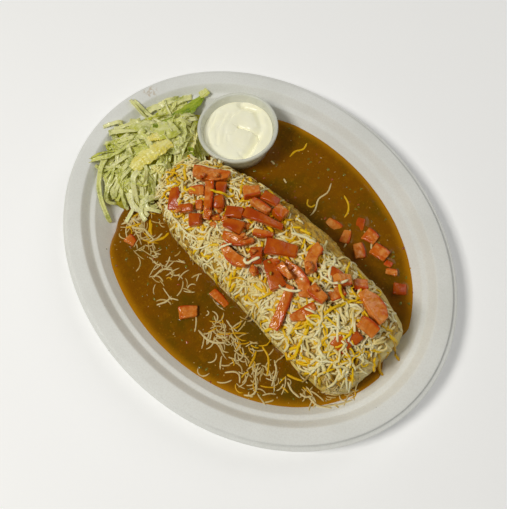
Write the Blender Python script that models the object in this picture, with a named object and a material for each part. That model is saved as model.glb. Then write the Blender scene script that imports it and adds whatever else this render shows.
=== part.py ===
"""A smothered burrito plate: a rolled burrito under shredded cheese and diced tomato, lying in a pool of
chile sauce on an oval moulded-fibre plate, with a heap of shredded lettuce and a portion cup of sour cream.

Metres, +Z up. The origin is on the table under the middle of the plate, and the plate's long axis and the
burrito lie along X. "Far" is +Y and "near" is -Y. Pieces that touch keep a small gap between them."""

import math
import random

import bmesh
import bpy
from mathutils import Matrix, Vector
from mathutils.bvhtree import BVHTree

MM = 0.001
GAP = 0.35 * MM  # left between touching pieces

# The plate: an oval platter, whose profile is (distance in from the outer edge, height) in millimetres
PLATE_HALF_LENGTH = 159 * MM
PLATE_HALF_WIDTH = 127 * MM
PLATE_SEGMENTS = 48
PLATE_FLOOR = 2.0 * MM
PLATE_TOP_PROFILE = (
    (0.0, 18.4),  # thin lip
    (1.6, 18.7),
    (3.4, 20.9),  # shoulder
    (5.2, 21.4),
    (13.6, 21.2),  # flat rim band
    (15.4, 20.2),
    (19.4, 15.4),
    (21.6, 14.6),  # rounded ledge
    (24.0, 13.2),
    (31.0, 7.2),  # wall of the well
    (34.4, 4.0),
    (38.5, 2.3),
    (44.0, 2.0),  # floor
)
PLATE_CLEARANCE = 0.3  # of what lies against it, inwards and upwards, in millimetres
WELL_SPACE_TOP = 80.0
PLATE_UNDER_PROFILE = (
    (0.0, 17.3),
    (2.6, 17.5),
    (4.6, 19.9),
    (13.2, 19.8),
    (18.6, 13.9),
    (23.2, 11.9),
    (30.2, 5.8),
    (33.6, 2.4),
    (37.4, 0.0),  # edge of the flat underside
)

# The sauce: fills the well to this level, and thins out towards the lettuce
SAUCE_LEVEL = 9.4 * MM
SAUCE_SPREAD_LEFT = 98 * MM
SAUCE_SPREAD_ACROSS = 106 * MM
SAUCE_EDGE_SLOPE = 2.0  # run of its free edge for each unit of height
SAUCE_EDGE_POWER = 2.4

# The burrito: a closed roll with tucked ends, along X
ROLL_LEFT = -77 * MM
ROLL_RIGHT = 124.5 * MM
ROLL_HALF_WIDTH = 39.5 * MM
ROLL_BOTTOM = PLATE_FLOOR + GAP
ROLL_WAIST = 20 * MM  # height of its widest line
ROLL_TOP = 46 * MM
ROLL_SWAY = -9 * MM  # how far its left end lies towards the near side
ROLL_LEFT_TAPER = 0.10
ROLL_END_POWER_LEFT = 3.2
ROLL_END_POWER_RIGHT = 6.0
ROLL_END_DROOP = 0.55
ROLL_STATIONS = 22
ROLL_SEGMENTS = 26
TUCK_DEPTH = 1.6 * MM  # folds of the tucked ends
LAP_STEP = 0.9 * MM  # step where the tortilla laps over itself

# The cheese: a blanket of shreds over the roll, down to an uneven edge on each side
CHEESE_LEFT = -60 * MM
CHEESE_RIGHT = 118 * MM
CHEESE_THICKNESS = 3.4 * MM
CHEESE_EDGE_THICKNESS = 1.0 * MM
CHEESE_SINK = 1.5 * MM  # how far its underside starts inside the roll, before the roll is cut out of it
CHEESE_FAR_EDGE = math.radians(27)  # round the roll from its far side
CHEESE_NEAR_EDGE = math.radians(166)
CHEESE_EDGE_WANDER = math.radians(6)
CHEESE_STATIONS = 20
CHEESE_STRIPS = 9

# The lettuce: a heap of shreds at the left end, with an uneven outline
HEAP_CENTRE = Vector((-106 * MM, -7 * MM))
HEAP_REACH_LEFT = 34 * MM
HEAP_REACH_RIGHT = 44 * MM
HEAP_REACH_FAR = 56 * MM
HEAP_REACH_NEAR = 57 * MM
HEAP_HEIGHT = 31 * MM
HEAP_EDGE_THICKNESS = 2.0 * MM
HEAP_SINK = 1.5 * MM
HEAP_LUMP = 0.09
HEAP_SEGMENTS = 28
HEAP_RINGS = 6

# The portion cup and the sour cream in it
CUP_CENTRE = Vector((-70.4 * MM, 47.4 * MM))
CUP_BOTTOM = PLATE_FLOOR + 0.6 * MM
CUP_HEIGHT = 31.0 * MM
CUP_FOOT_RADIUS = 21.5 * MM
CUP_MOUTH_RADIUS = 28.6 * MM
CUP_RIM_RADIUS = 30.4 * MM
CUP_WALL = 0.8 * MM
CUP_SEGMENTS = 32
CREAM_EDGE_DEPTH = 7.4 * MM  # below the rim, at the wall
CREAM_MOUND = 2.6 * MM
CREAM_TROUGH = 2.2 * MM
CREAM_FOLD = 1.1 * MM
CREAM_RINGS = 7

# Diced tomato on the cheese: (x, y, length, width, thickness) in millimetres, the turn and the shape
TOMATO_ON_TOP = (
    (-45, 3, 27, 12, 5, -146, "half"),
    (-32, 1, 10, 7, 4.5, -42, "dice"),
    (-25, -5, 9, 7, 4.5, -42, "dice"),
    (-30, -10, 28, 6, 4.5, -45, "strip"),
    (-41, -12, 11, 7, 5, 49, "dice"),
    (-32, -18, 7, 5, 4.5, -40, "dice"),
    (-48, -27, 16, 8, 4.5, -42, "strip"),
    (-25, -24, 9, 9, 5, 49, "dice"),
    (-34, -29, 10, 6, 5, 49, "dice"),
    (-15, 15, 12, 9, 5, 60, "dice"),
    (-5, 20, 13, 7, 4.5, 18, "dice"),
    (-3, 13, 15, 6, 5, 12, "strip"),
    (9, 19, 9, 9, 6, 7, "dice"),
    (7, 6, 27, 10, 5, 26, "wedge"),
    (14, 0, 14, 5, 4.5, 37, "strip"),
    (-10, -4, 12, 8, 5, 40, "dice"),
    (-4, -10, 14, 8, 5, 25, "dice"),
    (6, -14, 22, 8, 5, -144, "half"),
    (13, -23, 23, 9, 5, -172, "half"),
    (21, -15, 12, 8, 5, -42, "dice"),
    (29, -21, 6, 5, 4.5, 0, "dice"),
    (30, 2, 21, 10, 5, 36, "strip"),
    (48, 12, 22, 8, 6, 120, "arc"),
    (53, 1, 28, 8, 5, -10, "arc"),
    (37, -13, 20, 9, 6, -22, "strip"),
    (45, -8, 13, 5, 4.5, -5, "strip"),
    (61, -22, 29, 7, 5, -66, "strip"),
    (69, -3, 13, 8, 5, 4, "dice"),
    (71, -14, 18, 9, 5, -104, "half"),
    (76, 6, 11, 8, 7, 80, "dice"),
    (66, 16, 9, 7, 5, 20, "dice"),
    (73, 15, 11, 8, 5, 55, "dice"),
    (81, 24, 10, 7, 5, 48, "dice"),
    (94, 20, 24, 13, 5, -8, "half"),
    (103, 11, 13, 9, 6, 10, "dice"),
    (102, -1, 10, 8, 5, 0, "dice"),
    (99, -10, 11, 9, 5, 5, "dice"),
)
# Diced tomato in the sauce, with how far each stands out of it
TOMATO_IN_SAUCE = (
    (42, 68, 12, 7, 5, -62, 0.8),
    (54, 67, 10, 9, 5, 8, 1.6),
    (67, 63, 12, 9, 7, 12, 3.4),
    (29, 54, 12, 7, 5, 8, 0.7),
    (42, 54, 10, 7, 5, -60, 1.4),
    (56, 53, 11, 8, 5, -32, 1.8),
    (77, 62, 6, 5, 5, 20, 0.9),
    (83, 59, 8, 5, 5, 38, 1.9),
    (96, 54, 9, 8, 5, 42, 2.8),
    (9, -68, 13, 9, 6, 55, 2.8),
    (16, -45, 15, 6, 5, 4, 1.0),
    (-62, -66, 8, 7, 5, 10, 0.9),
)
TOMATO_WEDGE_TIP = 0.34  # width of a wedge's tip, as a share of its width
TOMATO_HALF_TIP = 0.3  # the same for the two tips of a half slice
TOMATO_ARC_BEND = math.radians(80)
TOMATO_UNEVEN = 0.08
TOMATO_BEVEL = 0.5 * MM
TOMATO_TRIM = 0.95  # length and width kept, so that neighbours lie clear of each other
TOMATO_LEAN = 0.8  # how nearly a piece follows the slope that it lies on
TOMATO_ON_OTHERS = 0.35  # how far that slope is the one of the pieces already there
GRID_STEP = 0.5 * MM  # spacing of the upright lines that test what lies under a piece
GRID_FAR = 200 * MM
SETTLE_REACH = 3.0 * MM  # how far a piece may move from its place to lie lower
SETTLE_RINGS = 5
SETTLE_SHYNESS = 0.75  # rise that a piece accepts for each unit that it would have to move


def clear_scene():
    for thing in list(bpy.data.objects):
        bpy.data.objects.remove(thing, do_unlink=True)


def finish_material(name, colour, roughness):
    """A plain Principled finish, non-metallic as everything here is."""
    material = bpy.data.materials.new(name)
    material.use_nodes = True
    shader = material.node_tree.nodes["Principled BSDF"]
    shader.inputs["Base Color"].default_value = (*colour, 1)
    shader.inputs["Roughness"].default_value = roughness
    shader.inputs["Metallic"].default_value = 0
    material.diffuse_color = (*colour, 1)
    return material


def solid_object(name, shape, material):
    """Makes one named object from a bmesh, faces out and smooth apart from its sharp edges."""
    bmesh.ops.recalc_face_normals(shape, faces=shape.faces)
    mesh = bpy.data.meshes.new(name)
    shape.to_mesh(mesh)
    shape.free()
    mesh.materials.append(material)
    mesh.shade_smooth()
    mesh.set_sharp_from_angle(angle=math.radians(40))
    piece = bpy.data.objects.new(name, mesh)
    bpy.context.scene.collection.objects.link(piece)
    return piece


def loft(rings):
    """A closed solid through rings of equally many points, its first and last ring filled."""
    shape = bmesh.new()
    corners = [[shape.verts.new(point) for point in ring] for ring in rings]
    for ring, following in zip(corners, corners[1:]):
        for i in range(len(ring)):
            j = (i + 1) % len(ring)
            shape.faces.new((ring[i], ring[j], following[j], following[i]))
    shape.faces.new(corners[0])
    shape.faces.new(corners[-1])
    return shape


def cut(piece, name, guide_shape, operation="DIFFERENCE"):
    """Takes a space out of a piece, or keeps only what is inside it, with the guide left out of the finished object."""
    guide = solid_object(name, guide_shape, piece.data.materials[0])
    guide.hide_render = True
    guide.display_type = "WIRE"
    modifier = piece.modifiers.new(name, "BOOLEAN")
    modifier.operation = operation
    modifier.solver = "EXACT"
    modifier.object = guide


def turns(count):
    return [2 * math.pi * i / count for i in range(count)]


def between(low, high, value):
    """0 below low, 1 above high and a smooth step between them."""
    t = min(max((value - low) / (high - low), 0.0), 1.0)
    return t * t * (3 - 2 * t)


def rounded(share, power):
    """Size left at this share of the way to a rounded end."""
    return max(1 - abs(share) ** power, 0.0) ** (1 / power)


def signed_power(value, power):
    return math.copysign(abs(value) ** power, value)


def profile_at(profile, value, column):
    """Reads the profile's other column where this one reaches the value."""
    for first, second in zip(profile, profile[1:]):
        low, high = sorted((first[column], second[column]))
        if low <= value <= high and high > low:
            share = (value - first[column]) / (second[column] - first[column])
            return first[1 - column] + share * (second[1 - column] - first[1 - column])
    return profile[-1][1 - column]


# ---------------------------------------------------------------- plate


def plate_ring(inset, height):
    """An oval ring of the plate, this far in from its outer edge, in millimetres."""
    return [
        Vector((
            (PLATE_HALF_LENGTH - inset * MM) * math.cos(t),
            (PLATE_HALF_WIDTH - inset * MM) * math.sin(t),
            height * MM,
        ))
        for t in turns(PLATE_SEGMENTS)
    ]


def plate_height(x, y):
    """Height of the plate's upper face under a point."""
    low, high = 0.0, 100.0
    for _ in range(24):
        inset = (low + high) / 2
        across = x / (PLATE_HALF_LENGTH - inset * MM)
        along = y / (PLATE_HALF_WIDTH - inset * MM)
        if across**2 + along**2 < 1:
            low = inset
        else:
            high = inset
    return profile_at(PLATE_TOP_PROFILE, low, 0) * MM


def well_space():
    """All the space above the plate's upper face, a small gap clear of it."""
    rings = [plate_ring(inset + PLATE_CLEARANCE, height + PLATE_CLEARANCE) for inset, height in PLATE_TOP_PROFILE]
    return loft([plate_ring(0.0, WELL_SPACE_TOP)] + rings[3:])


def make_plate():
    rings = [plate_ring(*point) for point in reversed(PLATE_TOP_PROFILE)]
    rings += [plate_ring(*point) for point in PLATE_UNDER_PROFILE]
    return solid_object("plate", loft(rings), finish_material("moulded_fibre", (0.75, 0.74, 0.71), 0.75))


# ---------------------------------------------------------------- burrito


def roll_share(x):
    """-1 at the roll's left end, 1 at its right end."""
    return (2 * x - ROLL_LEFT - ROLL_RIGHT) / (ROLL_RIGHT - ROLL_LEFT)


def roll_section(x):
    """Centre line, half width and top of the roll at this place along it."""
    share = roll_share(x)
    power = ROLL_END_POWER_RIGHT if share > 0 else ROLL_END_POWER_LEFT
    taper = 1 - ROLL_LEFT_TAPER * between(0.0, -1.0, share)
    centre = ROLL_SWAY * between(40 * MM, -70 * MM, x)
    half_width = ROLL_HALF_WIDTH * taper * rounded(share, power)
    height = (ROLL_TOP - ROLL_WAIST) * rounded(share, 0.6 * power + 1.2)
    top = ROLL_WAIST - ROLL_END_DROOP * (ROLL_WAIST - ROLL_BOTTOM) * (1 - rounded(share, 8)) + height
    return centre, half_width, top


def roll_point(x, v, out=0.0):
    """A point of the roll's skin: v runs round it from the far side over the top, and out is away from it."""
    centre, half_width, top = roll_section(x)
    share = roll_share(x)
    waist = ROLL_BOTTOM + (top - ROLL_BOTTOM) * (ROLL_WAIST - ROLL_BOTTOM) / (ROLL_TOP - ROLL_BOTTOM)
    upper = math.sin(v) > 0
    height = top - waist if upper else waist - ROLL_BOTTOM
    bulge = 2 / 2.35 if upper else 2 / 3.2
    tuck = TUCK_DEPTH * between(0.72, 1.0, abs(share)) * math.cos(5 * v + (1.1 if share > 0 else 0.2))
    lap = LAP_STEP * between(math.radians(146), math.radians(150), v) if upper else 0.0
    grow = out + tuck * (half_width / ROLL_HALF_WIDTH) - lap
    return Vector((
        x,
        centre + max(half_width + grow, 0.1 * MM) * signed_power(math.cos(v), bulge),
        waist + (height + (grow if upper else out)) * signed_power(math.sin(v), bulge),
    ))


def roll_stations(left, right, count):
    """Places along the roll, closer together towards its ends."""
    middle, half = (left + right) / 2, (right - left) / 2
    return [middle - half * math.cos(math.pi * i / (count - 1)) for i in range(count)]


def roll_rings(out, left, right):
    rings = []
    for x in roll_stations(left, right, ROLL_STATIONS):
        ring = [roll_point(x, t, out) for t in turns(ROLL_SEGMENTS)]
        rings.append(ring)
    return rings


def make_burrito():
    rings = roll_rings(0.0, ROLL_LEFT + 0.05 * MM, ROLL_RIGHT - 0.05 * MM)
    piece = solid_object("burrito", loft(rings), finish_material("tortilla", (0.62, 0.50, 0.27), 0.5))
    cut(piece, "burrito_well_space", well_space(), "INTERSECT")
    return piece


def burrito_room(gap):
    """The space that the pieces round the burrito leave for it."""
    rings = roll_rings(gap, ROLL_LEFT + 0.05 * MM, ROLL_RIGHT - 0.05 * MM)
    rings.insert(0, [point - Vector((gap, 0, 0)) for point in rings[0]])
    rings.append([point + Vector((gap, 0, 0)) for point in rings[-1]])
    return loft(rings)


# ---------------------------------------------------------------- cheese


def cheese_edges(x):
    """Where the blanket of cheese ends round the roll, on the far and the near side."""
    wave = math.sin(x / (9 * MM)) + 0.6 * math.sin(x / (4.3 * MM) + 2)
    far = CHEESE_FAR_EDGE + CHEESE_EDGE_WANDER * (0.6 * wave + 2.2 * between(50 * MM, 75 * MM, x))
    near = CHEESE_NEAR_EDGE + 0.5 * CHEESE_EDGE_WANDER * math.sin(x / (7 * MM) + 1)
    return far, near


def cheese_loop(x):
    """A section of the blanket: out along its underside and back over its top."""
    far, near = cheese_edges(x)
    under, over = [], []
    for i in range(CHEESE_STRIPS + 1):
        share = i / CHEESE_STRIPS
        v = far + share * (near - far)
        lump = 0.16 * math.sin(x / (5 * MM) + 7 * share) + 0.12 * math.sin(x / (11 * MM) - 9 * share)
        full = CHEESE_THICKNESS * (1 + lump) * between(ROLL_RIGHT, CHEESE_RIGHT - 14 * MM, x)
        thickness = CHEESE_EDGE_THICKNESS + full * rounded(2 * share - 1, 3)
        under.append(roll_point(x, v, -CHEESE_SINK))
        over.append(roll_point(x, v, GAP + thickness))
    return under + over[::-1]


def make_cheese():
    step = (CHEESE_RIGHT - CHEESE_LEFT) / (CHEESE_STATIONS - 1)
    loops = [cheese_loop(CHEESE_LEFT + i * step) for i in range(CHEESE_STATIONS)]
    piece = solid_object("cheese", loft(loops), finish_material("shredded_cheese", (0.80, 0.66, 0.32), 0.5))
    cut(piece, "cheese_burrito_room", burrito_room(GAP))
    return piece


# ---------------------------------------------------------------- cup and cream


def cup_ring(radius, height, count=CUP_SEGMENTS):
    centre = CUP_CENTRE.to_3d()
    return [centre + Vector((radius * math.cos(t), radius * math.sin(t), height)) for t in turns(count)]


def cup_inner_radius(height):
    """Inside radius of the cup's flared wall."""
    share = (height - CUP_BOTTOM) / CUP_HEIGHT
    return CUP_FOOT_RADIUS - CUP_WALL + share * (CUP_MOUTH_RADIUS - CUP_FOOT_RADIUS)


def make_cup():
    """Turned from the middle of the foot, up the outside, over the rolled rim and down the inside."""
    rim = CUP_BOTTOM + CUP_HEIGHT
    profile = (
        (CUP_FOOT_RADIUS - 1.0 * MM, CUP_BOTTOM),
        (CUP_FOOT_RADIUS, CUP_BOTTOM + 1.0 * MM),
        (CUP_MOUTH_RADIUS - 0.5 * MM, rim - 2.4 * MM),
        (CUP_RIM_RADIUS - 0.3 * MM, rim - 2.2 * MM),
        (CUP_RIM_RADIUS, rim - 1.1 * MM),
        (CUP_RIM_RADIUS - 0.6 * MM, rim),
        (CUP_MOUTH_RADIUS - 0.1 * MM, rim - 0.2 * MM),
        (cup_inner_radius(rim - 2.0 * MM), rim - 2.0 * MM),
        (cup_inner_radius(CUP_BOTTOM + 2.0 * MM), CUP_BOTTOM + 2.0 * MM),
        (CUP_FOOT_RADIUS - 2.4 * MM, CUP_BOTTOM + CUP_WALL),
    )
    rings = [cup_ring(*point) for point in profile]
    return solid_object("dip_cup", loft(rings), finish_material("clear_cup", (0.80, 0.82, 0.80), 0.25))


def cup_room(gap):
    """The space that the pieces round the cup leave for it."""
    rim = CUP_BOTTOM + CUP_HEIGHT
    slope = (CUP_MOUTH_RADIUS - CUP_FOOT_RADIUS) / CUP_HEIGHT
    profile = (
        (CUP_FOOT_RADIUS + gap - slope * 4 * MM, CUP_BOTTOM - 4 * MM),
        (CUP_MOUTH_RADIUS + gap, rim - 3.2 * MM),
        (CUP_RIM_RADIUS + gap, rim - 2.8 * MM),
        (CUP_RIM_RADIUS + gap, rim + 10 * MM),
    )
    return loft([cup_ring(*point) for point in profile])


def cream_height(share, t):
    """Top of the spooned cream: a mound inside a trough, with folds that wind in towards the middle."""
    edge = CUP_BOTTOM + CUP_HEIGHT - CREAM_EDGE_DEPTH
    lip = edge + 1.8 * MM * (1 + math.cos(t + 0.6)) * share**6
    mound = CREAM_MOUND * (1 - between(0.25, 0.95, share))
    trough = CREAM_TROUGH * math.exp(-(((share - 0.8) / 0.12) ** 2)) * (1 + math.cos(t - 1.4)) / 2
    fold = CREAM_FOLD * between(0.1, 0.4, share) * (1 - between(0.75, 1, share)) * math.cos(2 * t + 7 * share)
    return lip + mound - trough + fold


def make_cream():
    floor = CUP_BOTTOM + CUP_WALL + GAP
    edge = CUP_BOTTOM + CUP_HEIGHT - CREAM_EDGE_DEPTH
    foot = CUP_BOTTOM + 2.4 * MM
    rings = [cup_ring(CUP_FOOT_RADIUS - 2.9 * MM, floor), cup_ring(cup_inner_radius(foot) - GAP, foot)]
    for i in range(CREAM_RINGS, 0, -1):
        share = i / CREAM_RINGS
        ring = []
        for t in turns(CUP_SEGMENTS):
            height = cream_height(share, t)
            radius = share * (cup_inner_radius(height if i == CREAM_RINGS else edge) - GAP)
            spot = CUP_CENTRE + radius * Vector((math.cos(t), math.sin(t)))
            ring.append(Vector((*spot, height)))
        rings.append(ring)
    return solid_object("sour_cream", loft(rings), finish_material("sour_cream", (0.86, 0.83, 0.72), 0.35))


# ---------------------------------------------------------------- sauce


def sauce_reach(t, height, past_wall=0.0):
    """How far the sauce reaches from the plate's middle at this height: to the wall, or to its free edge."""
    inset = profile_at(PLATE_TOP_PROFILE, height / MM, 1) * MM + 1.5 * GAP - past_wall
    wall = Vector(((PLATE_HALF_LENGTH - inset) * math.cos(t), (PLATE_HALF_WIDTH - inset) * math.sin(t)))
    if wall.x >= 0:
        return wall
    left = abs(wall.x / (SAUCE_SPREAD_LEFT - SAUCE_EDGE_SLOPE * (height - PLATE_FLOOR))) ** SAUCE_EDGE_POWER
    across = abs(wall.y / SAUCE_SPREAD_ACROSS) ** SAUCE_EDGE_POWER
    return wall / max((left + across) ** (1 / SAUCE_EDGE_POWER), 1.0)


def sauce_shape(gap=0.0, past_wall=0.0):
    """The pool from its floor to its level, or with a gap the space that other pieces leave for it."""
    floor = PLATE_FLOOR + GAP + 0.3 * MM
    rings = []
    for height in (floor, 4.0 * MM, 7.2 * MM, SAUCE_LEVEL - 0.7 * MM, SAUCE_LEVEL):
        ring = [sauce_reach(t, height, past_wall) for t in turns(PLATE_SEGMENTS)]
        out = 2.5 * gap  # across the slope of the free edge, this leaves the gap
        level = height + gap if height == SAUCE_LEVEL else height
        rings.append([Vector((*(spot + out * spot.normalized()), level)) for spot in ring])
    if gap:
        first = [point - Vector((0, 0, 2 * MM)) for point in rings[0]]
    else:
        first = [Vector((0.93 * point.x, 0.93 * point.y, PLATE_FLOOR + GAP)) for point in rings[0]]
    return loft([first] + rings)


# ---------------------------------------------------------------- lettuce


def heap_reach(t):
    """The heap's uneven outline, as a distance from its middle."""
    side = HEAP_REACH_RIGHT if math.cos(t) > 0 else HEAP_REACH_LEFT
    end = HEAP_REACH_FAR if math.sin(t) > 0 else HEAP_REACH_NEAR
    oval = 1 / math.hypot(math.cos(t) / side, math.sin(t) / end)
    return oval * (1 + 0.5 * HEAP_LUMP * math.sin(5 * t + 1) + 0.5 * HEAP_LUMP * math.sin(9 * t))


def make_lettuce():
    """A mound whose underside starts below the plate, before all that it lies on is taken out of it."""
    above, below = [], []
    for i in range(1, HEAP_RINGS + 1):
        share = i / HEAP_RINGS
        top_ring, base_ring = [], []
        for t in turns(HEAP_SEGMENTS):
            spot = HEAP_CENTRE + share * heap_reach(t) * Vector((math.cos(t), math.sin(t)))
            lump = 1 + HEAP_LUMP * math.sin(4 * t + 9 * share) + HEAP_LUMP * math.sin(7 * t - 5 * share)
            crown = PLATE_FLOOR + HEAP_HEIGHT * rounded(share, 2) ** 1.2 * lump
            floor = plate_height(*spot)
            top_ring.append(Vector((*spot, max(crown, floor + HEAP_EDGE_THICKNESS))))
            base_ring.append(Vector((*spot, floor - HEAP_SINK)))
        above.append(top_ring)
        below.insert(0, base_ring)
    piece = solid_object("lettuce", loft(above + below), finish_material("lettuce", (0.56, 0.60, 0.22), 0.55))
    cut(piece, "lettuce_well_space", well_space(), "INTERSECT")
    cut(piece, "lettuce_sauce_room", sauce_shape(GAP, 5 * MM))
    cut(piece, "lettuce_cup_room", cup_room(GAP))
    cut(piece, "lettuce_burrito_room", burrito_room(GAP))
    return piece


# ---------------------------------------------------------------- tomato


def tomato_shape(length, width, thickness, kind, chance, bevel=TOMATO_BEVEL):
    """A cut piece with uneven corners: a dice, a strip, a wedge, a half slice or an arc of the fruit's round."""
    shape = bmesh.new()
    bmesh.ops.create_cube(shape, size=1)
    if kind in ("arc", "half"):
        across = [edge for edge in shape.edges if abs(edge.verts[0].co.x - edge.verts[1].co.x) > 0.5]
        bmesh.ops.subdivide_edges(shape, edges=across, cuts=2, use_grid_fill=True)
    for corner in shape.verts:
        share = corner.co.x + 0.5
        uneven = [1 + chance.uniform(-TOMATO_UNEVEN, TOMATO_UNEVEN) for _ in range(3)]
        tip = 1 - (1 - TOMATO_WEDGE_TIP) * share if kind == "wedge" else 1
        if kind == "half":
            tip = TOMATO_HALF_TIP + (1 - TOMATO_HALF_TIP) * math.sin(math.pi * share)
            tip = 1.2 * tip if corner.co.y > 0 else 0.8
        corner.co.x *= length * (uneven[0] if kind != "arc" else 1)
        corner.co.y *= width * tip * uneven[1]
        corner.co.z *= thickness * uneven[2]
        if kind == "arc":
            turn = (share - 0.5) * TOMATO_ARC_BEND
            radius = length / TOMATO_ARC_BEND
            away = radius + corner.co.y
            corner.co.x = away * math.sin(turn)
            corner.co.y = away * math.cos(turn) - radius
    if bevel:
        bmesh.ops.bevel(shape, geom=shape.edges[:], offset=bevel, segments=1, affect="EDGES")
    return shape


def footprint(shape):
    """{(column, row): (lowest, highest)} where the upright lines of a fine grid meet a shape."""
    tree = BVHTree.FromBMesh(shape)
    columns = [corner.co.x / GRID_STEP for corner in shape.verts]
    rows = [corner.co.y / GRID_STEP for corner in shape.verts]
    found = {}
    for column in range(math.floor(min(columns)), math.ceil(max(columns)) + 1):
        for row in range(math.floor(min(rows)), math.ceil(max(rows)) + 1):
            x, y = column * GRID_STEP, row * GRID_STEP
            low = tree.ray_cast(Vector((x, y, -GRID_FAR)), Vector((0, 0, 1)))[0]
            high = tree.ray_cast(Vector((x, y, GRID_FAR)), Vector((0, 0, -1)))[0]
            if low and high:
                found[column, row] = (low.z, high.z)
    return found


def add_to_ground(ground, found):
    """Raises the ground to the top of what now lies on it."""
    for cell, (low, high) in found.items():
        ground[cell] = max(ground.get(cell, 0.0), high)


def evaluated_shape(piece):
    graph = bpy.context.evaluated_depsgraph_get()
    shape = bmesh.new()
    shape.from_mesh(piece.evaluated_get(graph).to_mesh())
    return shape


def slope_here(ground, x, y, reach):
    """Turn that lays a piece on the slope under it."""

    def height(across, along):
        return ground.get((round((x + across) / GRID_STEP), round((y + along) / GRID_STEP)), 0.0)

    rise_x = height(reach, 0) - height(-reach, 0)
    rise_y = height(0, reach) - height(0, -reach)
    upright = Vector((-rise_x, -rise_y, 2 * reach)).normalized()
    flat = Vector((0, 0, 1))
    return flat.rotation_difference(flat.lerp(upright, TOMATO_LEAN)).to_matrix().to_4x4()


def settle(shape, ground):
    """Puts a shape down near its place, clear of what lies there, and where it comes to rest lowest."""
    under = {}
    for (column, row), (low, _) in footprint(shape).items():
        for cell in ((column + i, row + j) for i in (-1, 0, 1) for j in (-1, 0, 1)):
            under[cell] = min(under.get(cell, low), low)
    moves = {(0, 0)}
    for ring in range(1, SETTLE_RINGS + 1):
        reach = SETTLE_REACH / GRID_STEP * ring / SETTLE_RINGS
        moves |= {(round(reach * math.cos(t)), round(reach * math.sin(t))) for t in turns(4 + 4 * ring)}
    best = None
    for across, along in sorted(moves):
        rise = max(ground.get((c + across, r + along), 0.0) - low for (c, r), low in under.items())
        cost = rise + SETTLE_SHYNESS * math.hypot(across, along) * GRID_STEP
        if best is None or cost < best[0]:
            best = (cost, Vector((across * GRID_STEP, along * GRID_STEP, rise + GAP)))
    bmesh.ops.translate(shape, verts=shape.verts, vec=best[1])


def mixed_ground(bare, ground):
    """The slope that a piece leans to: mostly the bare roll's, and partly that of the pieces on it."""
    mixed = {}
    for cell, high in ground.items():
        low = bare.get(cell, 0.0)
        mixed[cell] = low + TOMATO_ON_OTHERS * (high - low)
    return mixed


def make_tomato_on_top(supports, chance, material):
    """Each piece leans with the roll and settles beside or on the ones before it."""
    ground = {}
    for piece in supports:
        shape = evaluated_shape(piece)
        add_to_ground(ground, footprint(shape))
        shape.free()
    bare = dict(ground)
    for number, (x, y, length, width, thickness, turn, kind) in enumerate(TOMATO_ON_TOP, 1):
        sizes = (length * TOMATO_TRIM * MM, width * TOMATO_TRIM * MM, thickness * MM)
        shape = tomato_shape(*sizes, kind, chance)
        lean = slope_here(mixed_ground(bare, ground), x * MM, y * MM, 0.5 * width * MM)
        place = Matrix.Translation((x * MM, y * MM, 0)) @ lean @ Matrix.Rotation(math.radians(turn), 4, "Z")
        bmesh.ops.transform(shape, matrix=place, verts=shape.verts)
        settle(shape, ground)
        add_to_ground(ground, footprint(shape))
        solid_object(f"tomato_{number:02d}", shape, material)


def make_tomato_in_sauce(sauce, chance, material):
    """Pieces part-way into the sauce, which leaves room round each."""
    for number, (x, y, length, width, thickness, turn, proud) in enumerate(TOMATO_IN_SAUCE, len(TOMATO_ON_TOP) + 1):
        spot = (x * MM, y * MM, SAUCE_LEVEL + (proud - thickness / 2) * MM)
        place = Matrix.Translation(spot) @ Matrix.Rotation(math.radians(turn), 4, "Z")
        seed = chance.random()
        sizes = [size * MM for size in (length, width, thickness)]
        room_sizes = [size + 3 * GAP for size in sizes]
        shape = tomato_shape(*sizes, "dice", random.Random(seed))
        room = tomato_shape(*room_sizes, "dice", random.Random(seed), bevel=0)
        for part in (shape, room):
            bmesh.ops.transform(part, matrix=place, verts=part.verts)
        solid_object(f"tomato_{number:02d}", shape, material)
        cut(sauce, f"tomato_{number:02d}_room", room)


def main():
    clear_scene()
    chance = random.Random(5)
    make_plate()
    burrito = make_burrito()
    cheese = make_cheese()
    make_cup()
    make_cream()
    lettuce = make_lettuce()
    sauce = solid_object("sauce", sauce_shape(), finish_material("chile_sauce", (0.42, 0.20, 0.02), 0.2))
    cut(sauce, "sauce_burrito_room", burrito_room(GAP))
    cut(sauce, "sauce_cup_room", cup_room(GAP))
    tomato = finish_material("tomato", (0.72, 0.14, 0.04), 0.35)
    make_tomato_on_top((burrito, cheese, lettuce), chance, tomato)
    make_tomato_in_sauce(sauce, chance, tomato)


main()
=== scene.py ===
"""The looks of a smothered burrito plate, built round its solids: moulded-fibre plate, chile sauce, tortilla,
shredded cheese, diced tomato, shredded lettuce, and a portion cup of sour cream. Metres, with +Z up."""

import math

import bpy
import numpy as np
from mathutils import Matrix, Vector
from mathutils.bvhtree import BVHTree


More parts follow.
